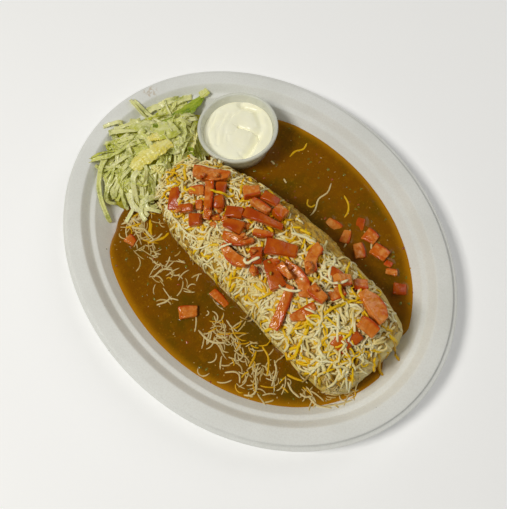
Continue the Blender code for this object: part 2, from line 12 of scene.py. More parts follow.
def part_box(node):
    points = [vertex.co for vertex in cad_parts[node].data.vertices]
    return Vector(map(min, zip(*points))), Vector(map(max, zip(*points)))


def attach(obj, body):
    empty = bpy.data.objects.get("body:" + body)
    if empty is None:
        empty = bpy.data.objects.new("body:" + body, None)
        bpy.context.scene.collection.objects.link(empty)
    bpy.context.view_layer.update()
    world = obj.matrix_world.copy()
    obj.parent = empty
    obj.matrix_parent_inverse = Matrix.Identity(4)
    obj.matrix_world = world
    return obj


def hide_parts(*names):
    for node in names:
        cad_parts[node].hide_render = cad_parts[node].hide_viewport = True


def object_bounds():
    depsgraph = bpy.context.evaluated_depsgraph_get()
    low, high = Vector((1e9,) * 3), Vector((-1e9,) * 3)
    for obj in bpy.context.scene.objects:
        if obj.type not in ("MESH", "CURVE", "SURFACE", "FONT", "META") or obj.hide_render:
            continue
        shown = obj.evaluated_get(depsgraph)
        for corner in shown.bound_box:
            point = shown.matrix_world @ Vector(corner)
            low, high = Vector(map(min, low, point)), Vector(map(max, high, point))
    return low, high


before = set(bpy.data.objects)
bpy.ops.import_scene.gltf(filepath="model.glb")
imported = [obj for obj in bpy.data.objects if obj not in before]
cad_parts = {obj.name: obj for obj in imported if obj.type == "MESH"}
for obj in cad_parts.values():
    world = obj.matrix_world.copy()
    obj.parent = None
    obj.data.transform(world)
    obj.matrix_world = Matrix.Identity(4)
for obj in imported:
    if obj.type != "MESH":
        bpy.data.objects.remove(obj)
cad_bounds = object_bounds()
bpy.ops.object.select_all(action="DESELECT")

# ---------------------------------------------------------------- plate
# An oval platter of bleached plant fibre, pressed wet between hot moulds in one piece. It has a thin lip, a
# flat rim band, a rounded ledge and a sloping wall, and its face keeps the felted grain of the fibres.

MM = 0.001
# Nothing loose stands higher than this
HIGHEST = cad_bounds[1][2] - 0.1 * MM
plate_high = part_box("plate")[1]
PLATE_HALF_LENGTH = plate_high.x
PLATE_HALF_WIDTH = plate_high.y
PLATE_FLOOR = 2.0 * MM
PLATE_AROUND = 96

# (distance in from the outer edge, height) in millimetres, from the floor out to the lip
PLATE_FACE = (
    (60.0, 2.0), (44.0, 2.0), (39.0, 2.2), (34.6, 3.8), (31.0, 7.2), (24.4, 13.4), (23.4, 14.5),
    (22.8, 14.8), (19.8, 15.3), (19.2, 15.7), (15.0, 20.7), (14.2, 21.2), (13.2, 21.4), (6.6, 21.4),
    (4.2, 21.2), (3.6, 20.9), (3.2, 19.4), (2.6, 18.7), (1.2, 18.3), (0.0, 17.9),
)
PLATE_BACK = (
    (0.0, 17.4), (2.4, 17.4), (4.4, 19.8), (13.2, 19.8), (18.6, 13.9), (23.2, 11.9), (30.2, 5.8),
    (33.6, 2.2), (36.6, 0.2), (38.6, 0.0), (60.0, 0.0),
)


def edit_all(operator, **settings):
    """Runs one edit-mode operator on the whole of the active piece."""
    bpy.ops.object.mode_set(mode="EDIT")
    bpy.ops.mesh.select_all(action="SELECT")
    operator(**settings)
    bpy.ops.object.mode_set(mode="OBJECT")


def oval_shell(name, rings, around):
    """A closed shell drawn out through oval rings of (half length, half width, height)."""
    half_length, half_width, height = rings[0]
    bpy.ops.mesh.primitive_circle_add(vertices=around, radius=1, fill_type="NGON")
    piece = bpy.context.object
    piece.name = name
    bpy.ops.object.mode_set(mode="EDIT")
    bpy.ops.mesh.select_all(action="SELECT")
    bpy.ops.transform.resize(value=(half_length, half_width, 1))
    bpy.ops.transform.translate(value=(0, 0, height))
    for before, after in zip(rings, rings[1:]):
        bpy.ops.mesh.extrude_region_move(TRANSFORM_OT_translate={"value": (0, 0, after[2] - before[2])})
        bpy.ops.transform.resize(
            value=(after[0] / before[0], after[1] / before[1], 1), center_override=(0, 0, after[2])
        )
    bpy.ops.mesh.select_all(action="SELECT")
    bpy.ops.mesh.normals_make_consistent(inside=False)
    bpy.ops.object.mode_set(mode="OBJECT")
    return piece


def apply_modifier(piece, kind, **settings):
    """Adds a modifier with its settings and applies it."""
    bpy.context.view_layer.objects.active = piece
    modifier = piece.modifiers.new(kind.lower(), kind)
    for key, value in settings.items():
        setattr(modifier, key, value)
    bpy.ops.object.modifier_apply(modifier=modifier.name)


def smooth(piece):
    """Smooth shading all over, and nothing left selected."""
    for face in piece.data.polygons:
        face.use_smooth = True
    bpy.ops.object.select_all(action="DESELECT")


def tint(red, green, blue):
    """The linear colour of a display colour from 0 to 255."""
    shares = [value / 255 for value in (red, green, blue)]
    return tuple(s / 12.92 if s < 0.04 else ((s + 0.055) / 1.055) ** 2.4 for s in shares) + (1.0,)


def add_node(tree, kind, inputs=None, **settings):
    """A new node. An input that is given a socket is linked to it, and any other takes the value."""
    made = tree.nodes.new(kind)
    for key, value in settings.items():
        setattr(made, key, value)
    for key, value in (inputs or {}).items():
        if isinstance(value, bpy.types.NodeSocket):
            tree.links.new(value, made.inputs[key])
        else:
            made.inputs[key].default_value = value
    return made


def blend_colours(tree, mask, where_none, where_full):
    """One colour where the mask is 0, another where it is 1. Each is a socket or a display colour."""
    sides = [tint(*side) if isinstance(side, tuple) else side for side in (where_none, where_full)]
    return add_node(tree, "ShaderNodeMix", {0: mask, 6: sides[0], 7: sides[1]}, data_type="RGBA").outputs[2]


def scale_value(tree, value, low, high, to_low=0.0, to_high=1.0):
    """The value carried from one range to another, softly at both ends."""
    scaled = add_node(
        tree,
        "ShaderNodeMapRange",
        {"Value": value, "From Min": low, "From Max": high, "To Min": to_low, "To Max": to_high},
        interpolation_type="SMOOTHSTEP",
    )
    return scaled.outputs["Result"]


def new_group(name, inputs, output, kind="NodeSocketFloat"):
    """An empty node group: its number inputs with their values, its one output, and its object coordinates."""
    group = bpy.data.node_groups.new(name, "ShaderNodeTree")
    for label, value in inputs.items():
        socket = group.interface.new_socket(label, in_out="INPUT", socket_type="NodeSocketFloat")
        socket.default_value = value
    group.interface.new_socket(output, in_out="OUTPUT", socket_type=kind)
    given = group.nodes.new("NodeGroupInput").outputs
    result = group.nodes.new("NodeGroupOutput").inputs[output]
    return group, given, result, add_node(group, "ShaderNodeTexCoord").outputs["Object"]


def make_patches_group():
    """Soft uneven patches, for colour and wetness that vary over a surface."""
    group, given, result, place = new_group("patches", {"Per metre": 100.0, "Low": 0.4, "High": 0.6}, "Mask")
    clouds = {"Vector": place, "Scale": given["Per metre"], "Detail": 4.0, "Roughness": 0.6}
    noise = add_node(group, "ShaderNodeTexNoise", clouds)
    group.links.new(scale_value(group, noise.outputs["Fac"], given["Low"], given["High"]), result)
    return group


def make_relief_group():
    """A fine uneven relief, coarse and fine together, as a normal."""
    inputs = {"Coarse per metre": 200.0, "Fine per metre": 1200.0, "Fine share": 0.3, "Depth": 0.0003}
    group, given, result, place = new_group("relief", inputs, "Normal", "NodeSocketVector")
    grains = []
    for scale, detail in (("Coarse per metre", 3.0), ("Fine per metre", 2.0)):
        grain = {"Vector": place, "Scale": given[scale], "Detail": detail}
        grains.append(add_node(group, "ShaderNodeTexNoise", grain).outputs["Fac"])
    both = {0: given["Fine share"], 2: grains[0], 3: grains[1]}
    height = add_node(group, "ShaderNodeMix", both, data_type="FLOAT")
    bump = {"Strength": 1.0, "Distance": given["Depth"], "Height": height.outputs[0]}
    group.links.new(add_node(group, "ShaderNodeBump", bump).outputs["Normal"], result)
    return group


def combine(tree, operation, one, other):
    """The two values combined by this sum."""
    return add_node(tree, "ShaderNodeMath", {0: one, 1: other}, operation=operation).outputs[0]


def make_specks_group():
    """Small round spots, one in some of the cells of a grid of uneven cells."""
    inputs = {"Per metre": 100.0, "Reach": 0.05, "Kept above": 0.6}
    group, given, result, place = new_group("specks", inputs, "Mask")
    cells = add_node(group, "ShaderNodeTexVoronoi", {"Vector": place, "Scale": given["Per metre"]})
    spot = combine(group, "LESS_THAN", cells.outputs["Distance"], given["Reach"])
    channel = add_node(group, "ShaderNodeSeparateColor", {"Color": cells.outputs["Color"]}).outputs["Red"]
    kept = combine(group, "GREATER_THAN", channel, given["Kept above"])
    group.links.new(combine(group, "MULTIPLY", spot, kept), result)
    return group


PATCHES = make_patches_group()
RELIEF = make_relief_group()
SPECKS = make_specks_group()


def add_group(tree, group, **inputs):
    """A shared effect placed in a material, with its inputs named with underscores for spaces."""
    made = tree.nodes.new("ShaderNodeGroup")
    made.node_tree = group
    for key, value in inputs.items():
        made.inputs[key.replace("_", " ")].default_value = value
    return made.outputs


def new_material(name, **settings):
    """A material with its tree and its shader. Constant settings go straight onto the shader's sockets."""
    material = bpy.data.materials.new(name)
    material.use_nodes = True
    shader = material.node_tree.nodes["Principled BSDF"]
    for key, value in settings.items():
        shader.inputs[key.replace("_", " ")].default_value = value
    return material, material.node_tree, shader.inputs


def lay_patches(tree, under, over, per_metre, low, high, share=None):
    """Soft uneven patches of one colour over another, as strong as the share."""
    mask = add_group(tree, PATCHES, Per_metre=per_metre, Low=low, High=high)["Mask"]
    if share is not None:
        mask = scale_value(tree, mask, 0, 1, 0.0, share)
    return blend_colours(tree, mask, under, over)


def lay_specks(tree, under, over, per_metre, reach, kept_above, share):
    """Small round spots of one colour over another, as strong as the share."""
    mask = add_group(tree, SPECKS, Per_metre=per_metre, Reach=reach, Kept_above=kept_above)["Mask"]
    return blend_colours(tree, scale_value(tree, mask, 0, 1, 0.0, share), under, over)


def finish_faces(tree, shader, colour, coarse, fine, fine_share, depth):
    """Gives the shader its colour, and the normal of a fine relief."""
    tree.links.new(colour, shader["Base Color"])
    grain = {"Coarse_per_metre": coarse, "Fine_per_metre": fine, "Fine_share": fine_share, "Depth": depth}
    tree.links.new(add_group(tree, RELIEF, **grain)["Normal"], shader["Normal"])


# The food stain on the rim: its place and how far it reaches, from full to none
STAIN_AT = (-0.148, 0.021, 0.02)
STAIN_REACH = (0.002, 0.009)


def make_fibre_material():
    """Bleached plant fibre: felted grain, clouded whiteness, a few dark fibre specks and one food stain."""
    material, tree, shader = new_material("moulded_fibre", Roughness=0.8, Specular_IOR_Level=0.12)
    colour = lay_patches(tree, (234, 235, 230), (242, 243, 239), per_metre=22.0, low=0.3, high=0.7)
    colour = lay_patches(tree, colour, (220, 217, 210), per_metre=900.0, low=0.35, high=0.7, share=0.25)
    colour = lay_specks(tree, colour, (122, 112, 98), per_metre=75.0, reach=0.028, kept_above=0.62, share=0.6)
    place = add_node(tree, "ShaderNodeTexCoord").outputs["Object"]
    away = add_node(tree, "ShaderNodeVectorMath", {0: place, 1: STAIN_AT}, operation="DISTANCE")
    near_stain = scale_value(tree, away.outputs["Value"], *STAIN_REACH, 1.0, 0.0)
    uneven = add_group(tree, PATCHES, Per_metre=420.0, Low=0.45, High=0.6)["Mask"]
    stain = combine(tree, "MULTIPLY", near_stain, uneven)
    colour = blend_colours(tree, scale_value(tree, stain, 0, 1, 0.0, 0.55), colour, (196, 172, 138))
    finish_faces(tree, shader, colour, coarse=260.0, fine=1500.0, fine_share=0.45, depth=0.00022)
    return material


def plate_ring(inset, height):
    """(half length, half width, height) of an oval ring of the plate, from millimetres."""
    return PLATE_HALF_LENGTH - inset * MM, PLATE_HALF_WIDTH - inset * MM, height * MM


plate_rings = [plate_ring(*spot) for spot in PLATE_BACK[::-1] + PLATE_FACE[::-1]]
plate = oval_shell("fibre_plate", plate_rings, PLATE_AROUND)
apply_modifier(plate, "SUBSURF", levels=2, render_levels=2)
smooth(plate)
plate.data.materials.append(make_fibre_material())
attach(plate, "root")
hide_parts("plate")


def plate_inset(x, y):
    """How far in from the plate's outer edge the points are, in metres."""
    low = np.zeros(len(x))
    high = np.full(len(x), 0.1)
    for _ in range(22):
        middle = (low + high) / 2
        inside = (x / (PLATE_HALF_LENGTH - middle)) ** 2 + (y / (PLATE_HALF_WIDTH - middle)) ** 2 < 1
        low = np.where(inside, middle, low)
        high = np.where(inside, high, middle)
    return low


def plate_height(x, y):
    """Height of the plate's upper face under the points."""
    face = PLATE_FACE[::-1]
    return MM * np.interp(plate_inset(x, y) / MM, [spot[0] for spot in face], [spot[1] for spot in face])


# ---------------------------------------------------------------- sauce
# Green and red chile sauce, thickened with flour, ladled round the burrito until it fills the well. Its face
# is wet and slightly uneven, climbs a little at whatever stands in it, and shows lighter where it is thin.

SAUCE_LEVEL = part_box("sauce")[1].z
SAUCE_AROUND = 144
SAUCE_RINGS = 30
SAUCE_FREE_LEFT = 98 * MM
SAUCE_FREE_ACROSS = 106 * MM
SAUCE_EDGE_POWER = 2.4
SAUCE_CORNER_POWER = 30
SAUCE_EDGE_RUN = 9 * MM
PLATE_WALL = PLATE_FACE[2:6]
# The face runs this far into the wall, and the underside stops this far in, so that it stays inside the plate
SAUCE_INTO_WALL = 1.0 * MM
SAUCE_FOOT = 38 * MM
# A gap with little sauce beside the roll's right end: its angle and width in radians, and its depth
SAUCE_GAP = (0.2, 0.14, 0.065)
# The diced tomato, whose pieces from this one on lie in the sauce
IN_SAUCE_FROM = 37
tomato_nodes = sorted(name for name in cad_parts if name.startswith("tomato_"))
SAUCE_CLIMB = 0.7 * MM
SAUCE_CLIMB_REACH = 0.8 * MM
SAUCE_WAVE = 0.2 * MM


def read_points(piece):
    """The piece's points as an array."""
    points = np.empty(len(piece.data.vertices) * 3)
    piece.data.vertices.foreach_get("co", points)
    return points.reshape(-1, 3)


def read_normals(piece):
    """The outward direction at each point of the piece, as an array."""
    return np.array([vertex.normal for vertex in piece.data.vertices])


def write_points(piece, points):
    """Moves the piece's points to the places in the array."""
    piece.data.vertices.foreach_set("co", points.ravel())
    piece.data.update()


def write_values(piece, name, values):
    """One number for each point of the piece, as an attribute that its material reads."""
    piece.data.attributes.new(name, "FLOAT", "POINT").data.foreach_set("value", values)


def read_attribute(tree, name):
    """The number of that name at each point."""
    return add_node(tree, "ShaderNodeAttribute", attribute_name=name).outputs["Fac"]


def waves(x, y, size, seed):
    """Gentle random waves from about -1 to 1, each about this long."""
    chance = np.random.default_rng(seed)
    total = np.zeros(len(x))
    for _ in range(9):
        turn, shift, longer = chance.uniform(0, (math.tau, math.tau, 1))
        pace = math.tau / (size * (0.7 + 0.9 * longer))
        total += np.sin(pace * (x * math.cos(turn) + y * math.sin(turn)) + shift)
    return total / 3


def sauce_outline(t):
    """The pool's edge, just inside the wall of the well, or where it runs out towards the lettuce."""
    insets, heights = zip(*PLATE_WALL)
    inset = np.interp(SAUCE_LEVEL / MM, heights, insets) * MM - SAUCE_INTO_WALL
    x = (PLATE_HALF_LENGTH - inset) * np.cos(t)
    y = (PLATE_HALF_WIDTH - inset) * np.sin(t)
    oval = np.abs(x / SAUCE_FREE_LEFT) ** SAUCE_EDGE_POWER + np.abs(y / SAUCE_FREE_ACROSS) ** SAUCE_EDGE_POWER
    oval = np.where(x < 0, oval ** (1 / SAUCE_EDGE_POWER), 0)
    pull = (1 + oval**SAUCE_CORNER_POWER) ** (1 / SAUCE_CORNER_POWER)
    free = np.clip((oval - 1) / 0.06, 0, 1)
    ragged = 1 + free * (0.003 * np.sin(31 * t) + 0.004 * np.sin(13 * t + 2))
    gap_at, gap_width, gap_depth = SAUCE_GAP
    gap = np.exp(-(((t - gap_at) / gap_width) ** 2))
    ragged -= gap_depth * gap
    thinned = np.clip(1.6 * gap - 0.2, 0, 1)
    return x / pull * ragged, y / pull * ragged, np.maximum(free, thinned)


def surface_tree(piece):
    """The piece's faces, for finding the nearest spot on them or the spot under a ray."""
    points = [vertex.co for vertex in piece.data.vertices]
    return BVHTree.FromPolygons(points, [tuple(face.vertices) for face in piece.data.polygons])


def nearest_distances(points, pieces):
    """The distance from each point to the nearest of these solids."""
    trees = [surface_tree(piece) for piece in pieces]
    return np.array([min(tree.find_nearest(Vector(point))[3] for tree in trees) for point in points])


def make_sauce_material():
    """Cooked chile sauce: brown-orange, olive where the chile lies thick, lighter where it thins."""
    material, tree, shader = new_material(
        "chile_sauce", Roughness=0.1, Specular_IOR_Level=0.18, Subsurface_Weight=0.1, Subsurface_Scale=0.002,
        Subsurface_Radius=(1.0, 0.45, 0.1),
    )
    colour = lay_patches(tree, (130, 80, 0), (103, 75, 0), per_metre=26.0, low=0.42, high=0.68)
    colour = lay_patches(tree, colour, (146, 96, 0), per_metre=170.0, low=0.5, high=0.72, share=0.5)
    colour = lay_patches(tree, colour, (172, 122, 14), per_metre=700.0, low=0.58, high=0.68, share=0.35)
    deep = scale_value(tree, read_attribute(tree, "depth"), -0.001, 0.0066)
    colour = blend_colours(tree, deep, (186, 126, 8), colour)
    colour = lay_specks(tree, colour, (70, 54, 4), per_metre=170.0, reach=0.06, kept_above=0.8, share=0.75)
    wet = add_group(tree, PATCHES, Per_metre=120.0, Low=0.4, High=0.7)["Mask"]
    tree.links.new(scale_value(tree, wet, 0, 1, 0.06, 0.14), shader["Roughness"])
    finish_faces(tree, shader, colour, coarse=160.0, fine=900.0, fine_share=0.3, depth=0.00022)
    return material


def make_sauce():
    """A closed pool: its face in fine rings, its edge sunk in the wall, and its underside inside the floor."""
    rings = [(1, 1, 0.5)] + [(share, share, 0) for share in np.linspace(1, 0.02, SAUCE_RINGS)]
    piece = oval_shell("chile_sauce", rings, SAUCE_AROUND)
    edit_all(bpy.ops.mesh.subdivide, number_cuts=3)
    points = read_points(piece)
    share = np.hypot(points[:, 0], points[:, 1])
    edge_x, edge_y, free = sauce_outline(np.arctan2(points[:, 1], points[:, 0]))
    x = share * edge_x
    y = share * edge_y
    from_edge = (1 - share) * np.hypot(edge_x, edge_y)
    fall = np.clip(1 - from_edge / SAUCE_EDGE_RUN, 0, 1)
    level = SAUCE_LEVEL - free * (SAUCE_LEVEL - PLATE_FLOOR) * (1 - np.sqrt(1 - fall**2))
    under = np.clip(2 * points[:, 2], 0, 1)
    face = np.column_stack([x, y, level])
    solids = [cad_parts[name] for name in ["burrito", "dip_cup"] + tomato_nodes[IN_SAUCE_FROM:]]
    climb = SAUCE_CLIMB * np.exp(-nearest_distances(face, solids) / SAUCE_CLIMB_REACH)
    wave = SAUCE_WAVE * waves(x, y, 22 * MM, 3) + 0.4 * SAUCE_WAVE * waves(x, y, 6 * MM, 4)
    height = level + climb + wave * np.clip(from_edge / (6 * MM), 0, 1)
    foot = np.hypot(x / (PLATE_HALF_LENGTH - SAUCE_FOOT), y / (PLATE_HALF_WIDTH - SAUCE_FOOT))
    drawn_in = 1 - under * (1 - 1 / np.maximum(foot, 1))
    lowered = height - under * (height - 0.5 * PLATE_FLOOR)
    write_points(piece, np.column_stack([x * drawn_in, y * drawn_in, lowered]))
    write_values(piece, "depth", np.clip(height - plate_height(x, y), 0, 0.02))
    edit_all(bpy.ops.mesh.normals_make_consistent, inside=False)
    smooth(piece)
    piece.data.materials.append(make_sauce_material())
    return piece


sauce = make_sauce()
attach(sauce, "root")
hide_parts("sauce")

# ---------------------------------------------------------------- tortilla
# A large flour tortilla rolled round the filling, both ends tucked in and the lap underneath. The sauce has
# soaked it, so that it is soft and moist, with low wrinkles and a few toasted spots from the griddle.

TORTILLA_MESH = 1.3 * MM
TORTILLA_WRINKLE = 0.8 * MM


def copy_solid(name, *nodes):
    """One closed mesh from these solids, their loose triangles merged."""
    bpy.ops.object.select_all(action="DESELECT")
    for node in nodes:
        piece = bpy.data.objects.new(name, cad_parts[node].data.copy())
        bpy.context.scene.collection.objects.link(piece)
        piece.select_set(True)
    bpy.context.view_layer.objects.active = piece
    if len(nodes) > 1:
        bpy.ops.object.join()
    edit_all(bpy.ops.mesh.remove_doubles, threshold=1e-6)
    piece = bpy.context.object
    piece.name = name
    piece.data.materials.clear()
    return piece


def refine(piece, cell, passes):
    """An even fine mesh over the whole piece, softened this many times."""
    apply_modifier(piece, "REMESH", mode="VOXEL", voxel_size=cell)
    if passes:
        apply_modifier(piece, "SMOOTH", factor=0.5, iterations=passes)


def make_tortilla_material():
    """Soaked flour tortilla: pale olive-beige, toasted spots, moist gloss."""
    material, tree, shader = new_material(
        "tortilla", Roughness=0.3, Specular_IOR_Level=0.3, Subsurface_Weight=0.15, Subsurface_Scale=0.003,
        Subsurface_Radius=(1.0, 0.7, 0.3),
    )
    colour = lay_patches(tree, (242, 220, 142), (222, 194, 96), per_metre=60.0, low=0.35, high=0.68)
    colour = lay_patches(tree, colour, (214, 166, 44), per_metre=150.0, low=0.5, high=0.66, share=0.55)
    colour = lay_patches(tree, colour, (150, 98, 36), per_metre=110.0, low=0.66, high=0.72, share=0.5)
    finish_faces(tree, shader, colour, coarse=230.0, fine=1100.0, fine_share=0.25, depth=0.0006)
    return material


tortilla = copy_solid("rolled_tortilla", "burrito")
refine(tortilla, TORTILLA_MESH, 4)
roll = read_points(tortilla)
wrinkles = waves(roll[:, 0] * 0.35, roll[:, 1] + roll[:, 2], 7 * MM, 11)
wrinkles = wrinkles + waves(roll[:, 0], roll[:, 2], 16 * MM, 12)
write_points(tortilla, roll + read_normals(tortilla) * (TORTILLA_WRINKLE * 0.5 * (wrinkles - 1))[:, None])
smooth(tortilla)
tortilla.data.materials.append(make_tortilla_material())
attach(tortilla, "root")
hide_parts("burrito")

# ---------------------------------------------------------------- cheese
# Two shredded cheeses, a white one and an orange one, strewn over the hot roll. The lowest shreds have melted
# together into a soft blanket, and on top of it lie loose shreds, short and fine on the left, long and curly
# on the right. Some have slid down onto the sauce and half sunk in it.

MELT_MESH = 0.9 * MM
MELT_SHRINK = 1.0 * MM
PILE_CELL = 0.7 * MM
ABOVE_ALL = 0.2
UPWARDS = np.array((0.0, 0.0, 1.0))


class Pile:
    """A grid over some pieces, with their height and normal at each cell, and how deep it is heaped so far."""

    def __init__(self, pieces, low, high, upright=False):
        self.low = low
        self.upright = upright
        self.size = (int((high[0] - low[0]) / PILE_CELL) + 1, int((high[1] - low[1]) / PILE_CELL) + 1)
        self.height = np.full(self.size, np.nan)
        self.normal = np.zeros(self.size + (3,))
        self.depth = np.zeros(self.size)
        trees = [surface_tree(piece) for piece in pieces]
        for i in range(self.size[0]):
            for j in range(self.size[1]):
                above = Vector((low[0] + i * PILE_CELL, low[1] + j * PILE_CELL, ABOVE_ALL))
                hits = [tree.ray_cast(above, Vector((0, 0, -1))) for tree in trees]
                hits = [hit for hit in hits if hit[0] is not None]
                if hits:
                    place, normal = max(hits, key=lambda hit: hit[0].z)[:2]
                    self.height[i, j] = place.z
                    self.normal[i, j] = normal
        self.soften()

    def soften(self):
        """Evens out the normals, so that nothing laid on the pile twists at an edge."""
        for _ in range(3):
            padded = np.pad(self.normal, ((1, 1), (1, 1), (0, 0)), mode="edge")
            self.normal = (padded[:-2, 1:-1] + padded[2:, 1:-1] + padded[1:-1, :-2] + padded[1:-1, 2:]) / 4
        self.normal /= np.maximum(np.linalg.norm(self.normal, axis=2, keepdims=True), 1e-6)

    def cell(self, x, y):
        """The grid cell under a point, or None off the grid."""
        i = int(round((x - self.low[0]) / PILE_CELL))
        j = int(round((y - self.low[1]) / PILE_CELL))
        if 0 <= i < self.size[0] and 0 <= j < self.size[1] and not np.isnan(self.height[i, j]):
            return i, j
        return None

    def raise_line(self, line, faces, depths, clear):
        """The line lifted off the pile by its depth and by a little more."""
        return line + (UPWARDS if self.upright else faces) * (depths + clear)[:, None]

    def lay(self, x, y, turn, length, width, thickness, bends, sink=0.3, stiff=False):
        """Lays one shred from here along its bends. Gives its middle line and faces, or None off the pile."""
        step = length / len(bends)
        line, faces, cells, depths = [], [], [], []
        for bend in bends:
            found = self.cell(x, y)
            if found is None:
                break
            normal = self.normal[found]
            cells.append(found)
            line.append((x, y, self.height[found]))
            faces.append(normal)
            depths.append(self.depth[found])
            slope = (normal[0] * math.cos(turn) + normal[1] * math.sin(turn)) / max(normal[2], 0.3)
            run = step / math.sqrt(1 + slope * slope)
            x += run * math.cos(turn)
            y += run * math.sin(turn)
            turn += bend
        if len(line) < 4:
            return None
        line, faces, depths = np.array(line), np.array(faces), np.array(depths)
        around = np.pad(depths, 1, mode="edge")
        held = np.maximum(depths, 0.25 * around[:-2] + 0.5 * depths + 0.25 * around[2:])
        held = np.maximum(held, 0.7 * held.max()) if stiff else held
        middle = fill_hollows(self.raise_line(line, faces, held, (0.5 - sink) * thickness), 2)
        reach = int(0.4 * width / PILE_CELL)
        for (i, j), depth in zip(cells, held):
            spread = self.depth[max(i - reach, 0) : i + reach + 1, max(j - reach, 0) : j + reach + 1]
            np.maximum(spread, depth + (1 - sink) * thickness, out=spread)
        return middle, faces

    def lay_path(self, path, count, thickness, sink=0.3, lift=0.0):
        """Lays one strand along a path of chosen points, in millimetres, on all that lies there."""
        spots = np.array(path, float) * MM
        lengths = np.concatenate([[0], np.cumsum(np.hypot(*np.diff(spots[:, :2], axis=0).T))])
        share = np.linspace(0, lengths[-1], count)
        rounded = [np.interp(share, lengths, spots[:, k]) for k in (0, 1)]
        for _ in range(2):
            for row in rounded:
                row[1:-1] = (row[:-2] + 2 * row[1:-1] + row[2:]) / 4
        cells = [self.cell(x, y) for x, y in zip(*rounded)]
        faces = np.array([self.normal[cell] for cell in cells])
        depths = np.array([self.depth[cell] for cell in cells])
        line = np.column_stack([*rounded, [self.height[cell] for cell in cells]])
        middle = fill_hollows(self.raise_line(line, faces, depths, (0.5 - sink) * thickness), 3)
        middle[:, 2] += lift * MM * np.sin(np.pi * share / share[-1])
        for cell in cells:
            self.depth[cell] += (1 - sink) * thickness
        return middle, faces


def fill_hollows(middle, passes):
    """Lets a strand pass over what is lower than the spots beside it."""
    for _ in range(passes):
        middle[1:-1, 2] = np.maximum(middle[1:-1, 2], (middle[:-2, 2] + middle[2:, 2]) / 2)
    return middle


def unit(rows):
    """The directions, each of length 1."""
    return rows / np.maximum(np.linalg.norm(rows, axis=1, keepdims=True), 1e-9)


def new_piece(name, points, faces):
    """A piece from its lists of point arrays and faces."""
    mesh = bpy.data.meshes.new(name)
    mesh.from_pydata(np.concatenate(points).tolist(), [], faces)
    piece = bpy.data.objects.new(name, mesh)
    bpy.context.scene.collection.objects.link(piece)
    return piece


def strand_mesh(name, strands, section):
    """One mesh of closed strands. Each is (middle line, face directions, widths, thicknesses, tone)."""
    points, faces, tones = [], [], []
    around = len(section)
    for middle, ups, widths, thicknesses, tone in strands:
        count = len(middle)
        along = unit(np.gradient(middle, axis=0))
        across = unit(np.cross(along, ups))
        up = np.cross(across, along)
        first = sum(len(part) for part in points)
        ring = middle[:, None] + across[:, None] * (section[:, 0] * widths[:, None] / 2)[:, :, None]
        ring = ring + up[:, None] * (section[:, 1] * thicknesses[:, None] / 2)[:, :, None]
        ring[:, :, 2] = np.minimum(ring[:, :, 2], HIGHEST)
        points.append(ring.reshape(-1, 3))
        tones.append(np.repeat(np.broadcast_to(tone, count), around))
        for i in range(count - 1):
            row = first + i * around
            faces += [
                (row + k, row + (k + 1) % around, row + around + (k + 1) % around, row + around + k)
                for k in range(around)
            ]
        faces.append(tuple(first + k for k in reversed(range(around))))
        faces.append(tuple(first + (count - 1) * around + k for k in range(around)))
    piece = new_piece(name, points, faces)
    write_values(piece, "tone", np.concatenate(tones))
    bpy.context.view_layer.objects.active = piece
    edit_all(bpy.ops.mesh.normals_make_consistent, inside=False)
    smooth(piece)
    return piece


SHRED_SECTION = np.array([(-1.0, -0.7), (-0.2, -1.0), (1.0, -0.75), (0.9, 0.8), (0.1, 1.0), (-0.9, 0.7)])


def shred_widths(chance, count, width):
    """An uneven width along a shred, thinner at its ends."""
    share = np.linspace(0, 1, count)
    ends = np.clip(np.minimum(share, 1 - share) * 7, 0, 1) ** 0.5
    return width * (0.55 + 0.45 * ends) * chance.uniform(0.82, 1.14, count)


def add_shred(strands, laid, chance, width, flat, tones):
    """Adds a shred that found its place, with its uneven width, its flatness and its tone."""
    if laid is not None:
        widths = shred_widths(chance, len(laid[0]), width)
        strands.append((*laid, widths, flat * widths, chance.uniform(*tones)))


def make_cheese_material(name, pale, deep, melted):
    """Shredded cheese: each shred its own tone, moist faces, a fine crumbly grain."""
    material, tree, shader = new_material(
        name, Roughness=0.34, Specular_IOR_Level=0.28, Subsurface_Weight=0.12, Subsurface_Scale=0.0007,
        Subsurface_Radius=(1.0, 0.75, 0.4),
    )
    colour = blend_colours(tree, read_attribute(tree, "tone"), pale, deep)
    colour = lay_patches(tree, colour, melted, per_metre=70.0, low=0.45, high=0.7, share=0.35)
    finish_faces(tree, shader, colour, coarse=500.0, fine=2200.0, fine_share=0.4, depth=0.00035)
    return material


def make_melt_material():
    """Melted cheese: cream and yellow run together in a deeper gold, darkened and blotched with brown as
    painted shade in the gaps between the shreds that lie on it.
    """
    material, tree, shader = new_material(
        "melted_cheese", Roughness=0.28, Specular_IOR_Level=0.3, Subsurface_Weight=0.2, Subsurface_Scale=0.003,
        Subsurface_Radius=(1.0, 0.75, 0.4),
    )
    colour = lay_patches(tree, (204, 164, 62), (184, 134, 20), per_metre=160.0, low=0.42, high=0.62)
    # Painted shade: dark brown patches for the gaps between the loose shreds above.
    colour = lay_patches(tree, colour, (122, 84, 4), per_metre=330.0, low=0.52, high=0.66, share=0.75)
    finish_faces(tree, shader, colour, coarse=420.0, fine=1300.0, fine_share=0.35, depth=0.0009)
    return material


melt = copy_solid("melted_cheese", "cheese")
refine(melt, MELT_MESH, 3)
blanket = read_points(melt)
lumps = waves(blanket[:, 0], blanket[:, 1], 3.2 * MM, 21) + waves(blanket[:, 0], blanket[:, 1], 9 * MM, 22)
outwards = read_normals(melt)
sunk = np.where(outwards[:, 2] > -0.2, 0.45 * lumps - 1.0, 0)
write_points(melt, blanket + outwards * (MELT_SHRINK * sunk)[:, None])
smooth(melt)
melt.data.materials.append(make_melt_material())
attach(melt, "root")
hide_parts("cheese")

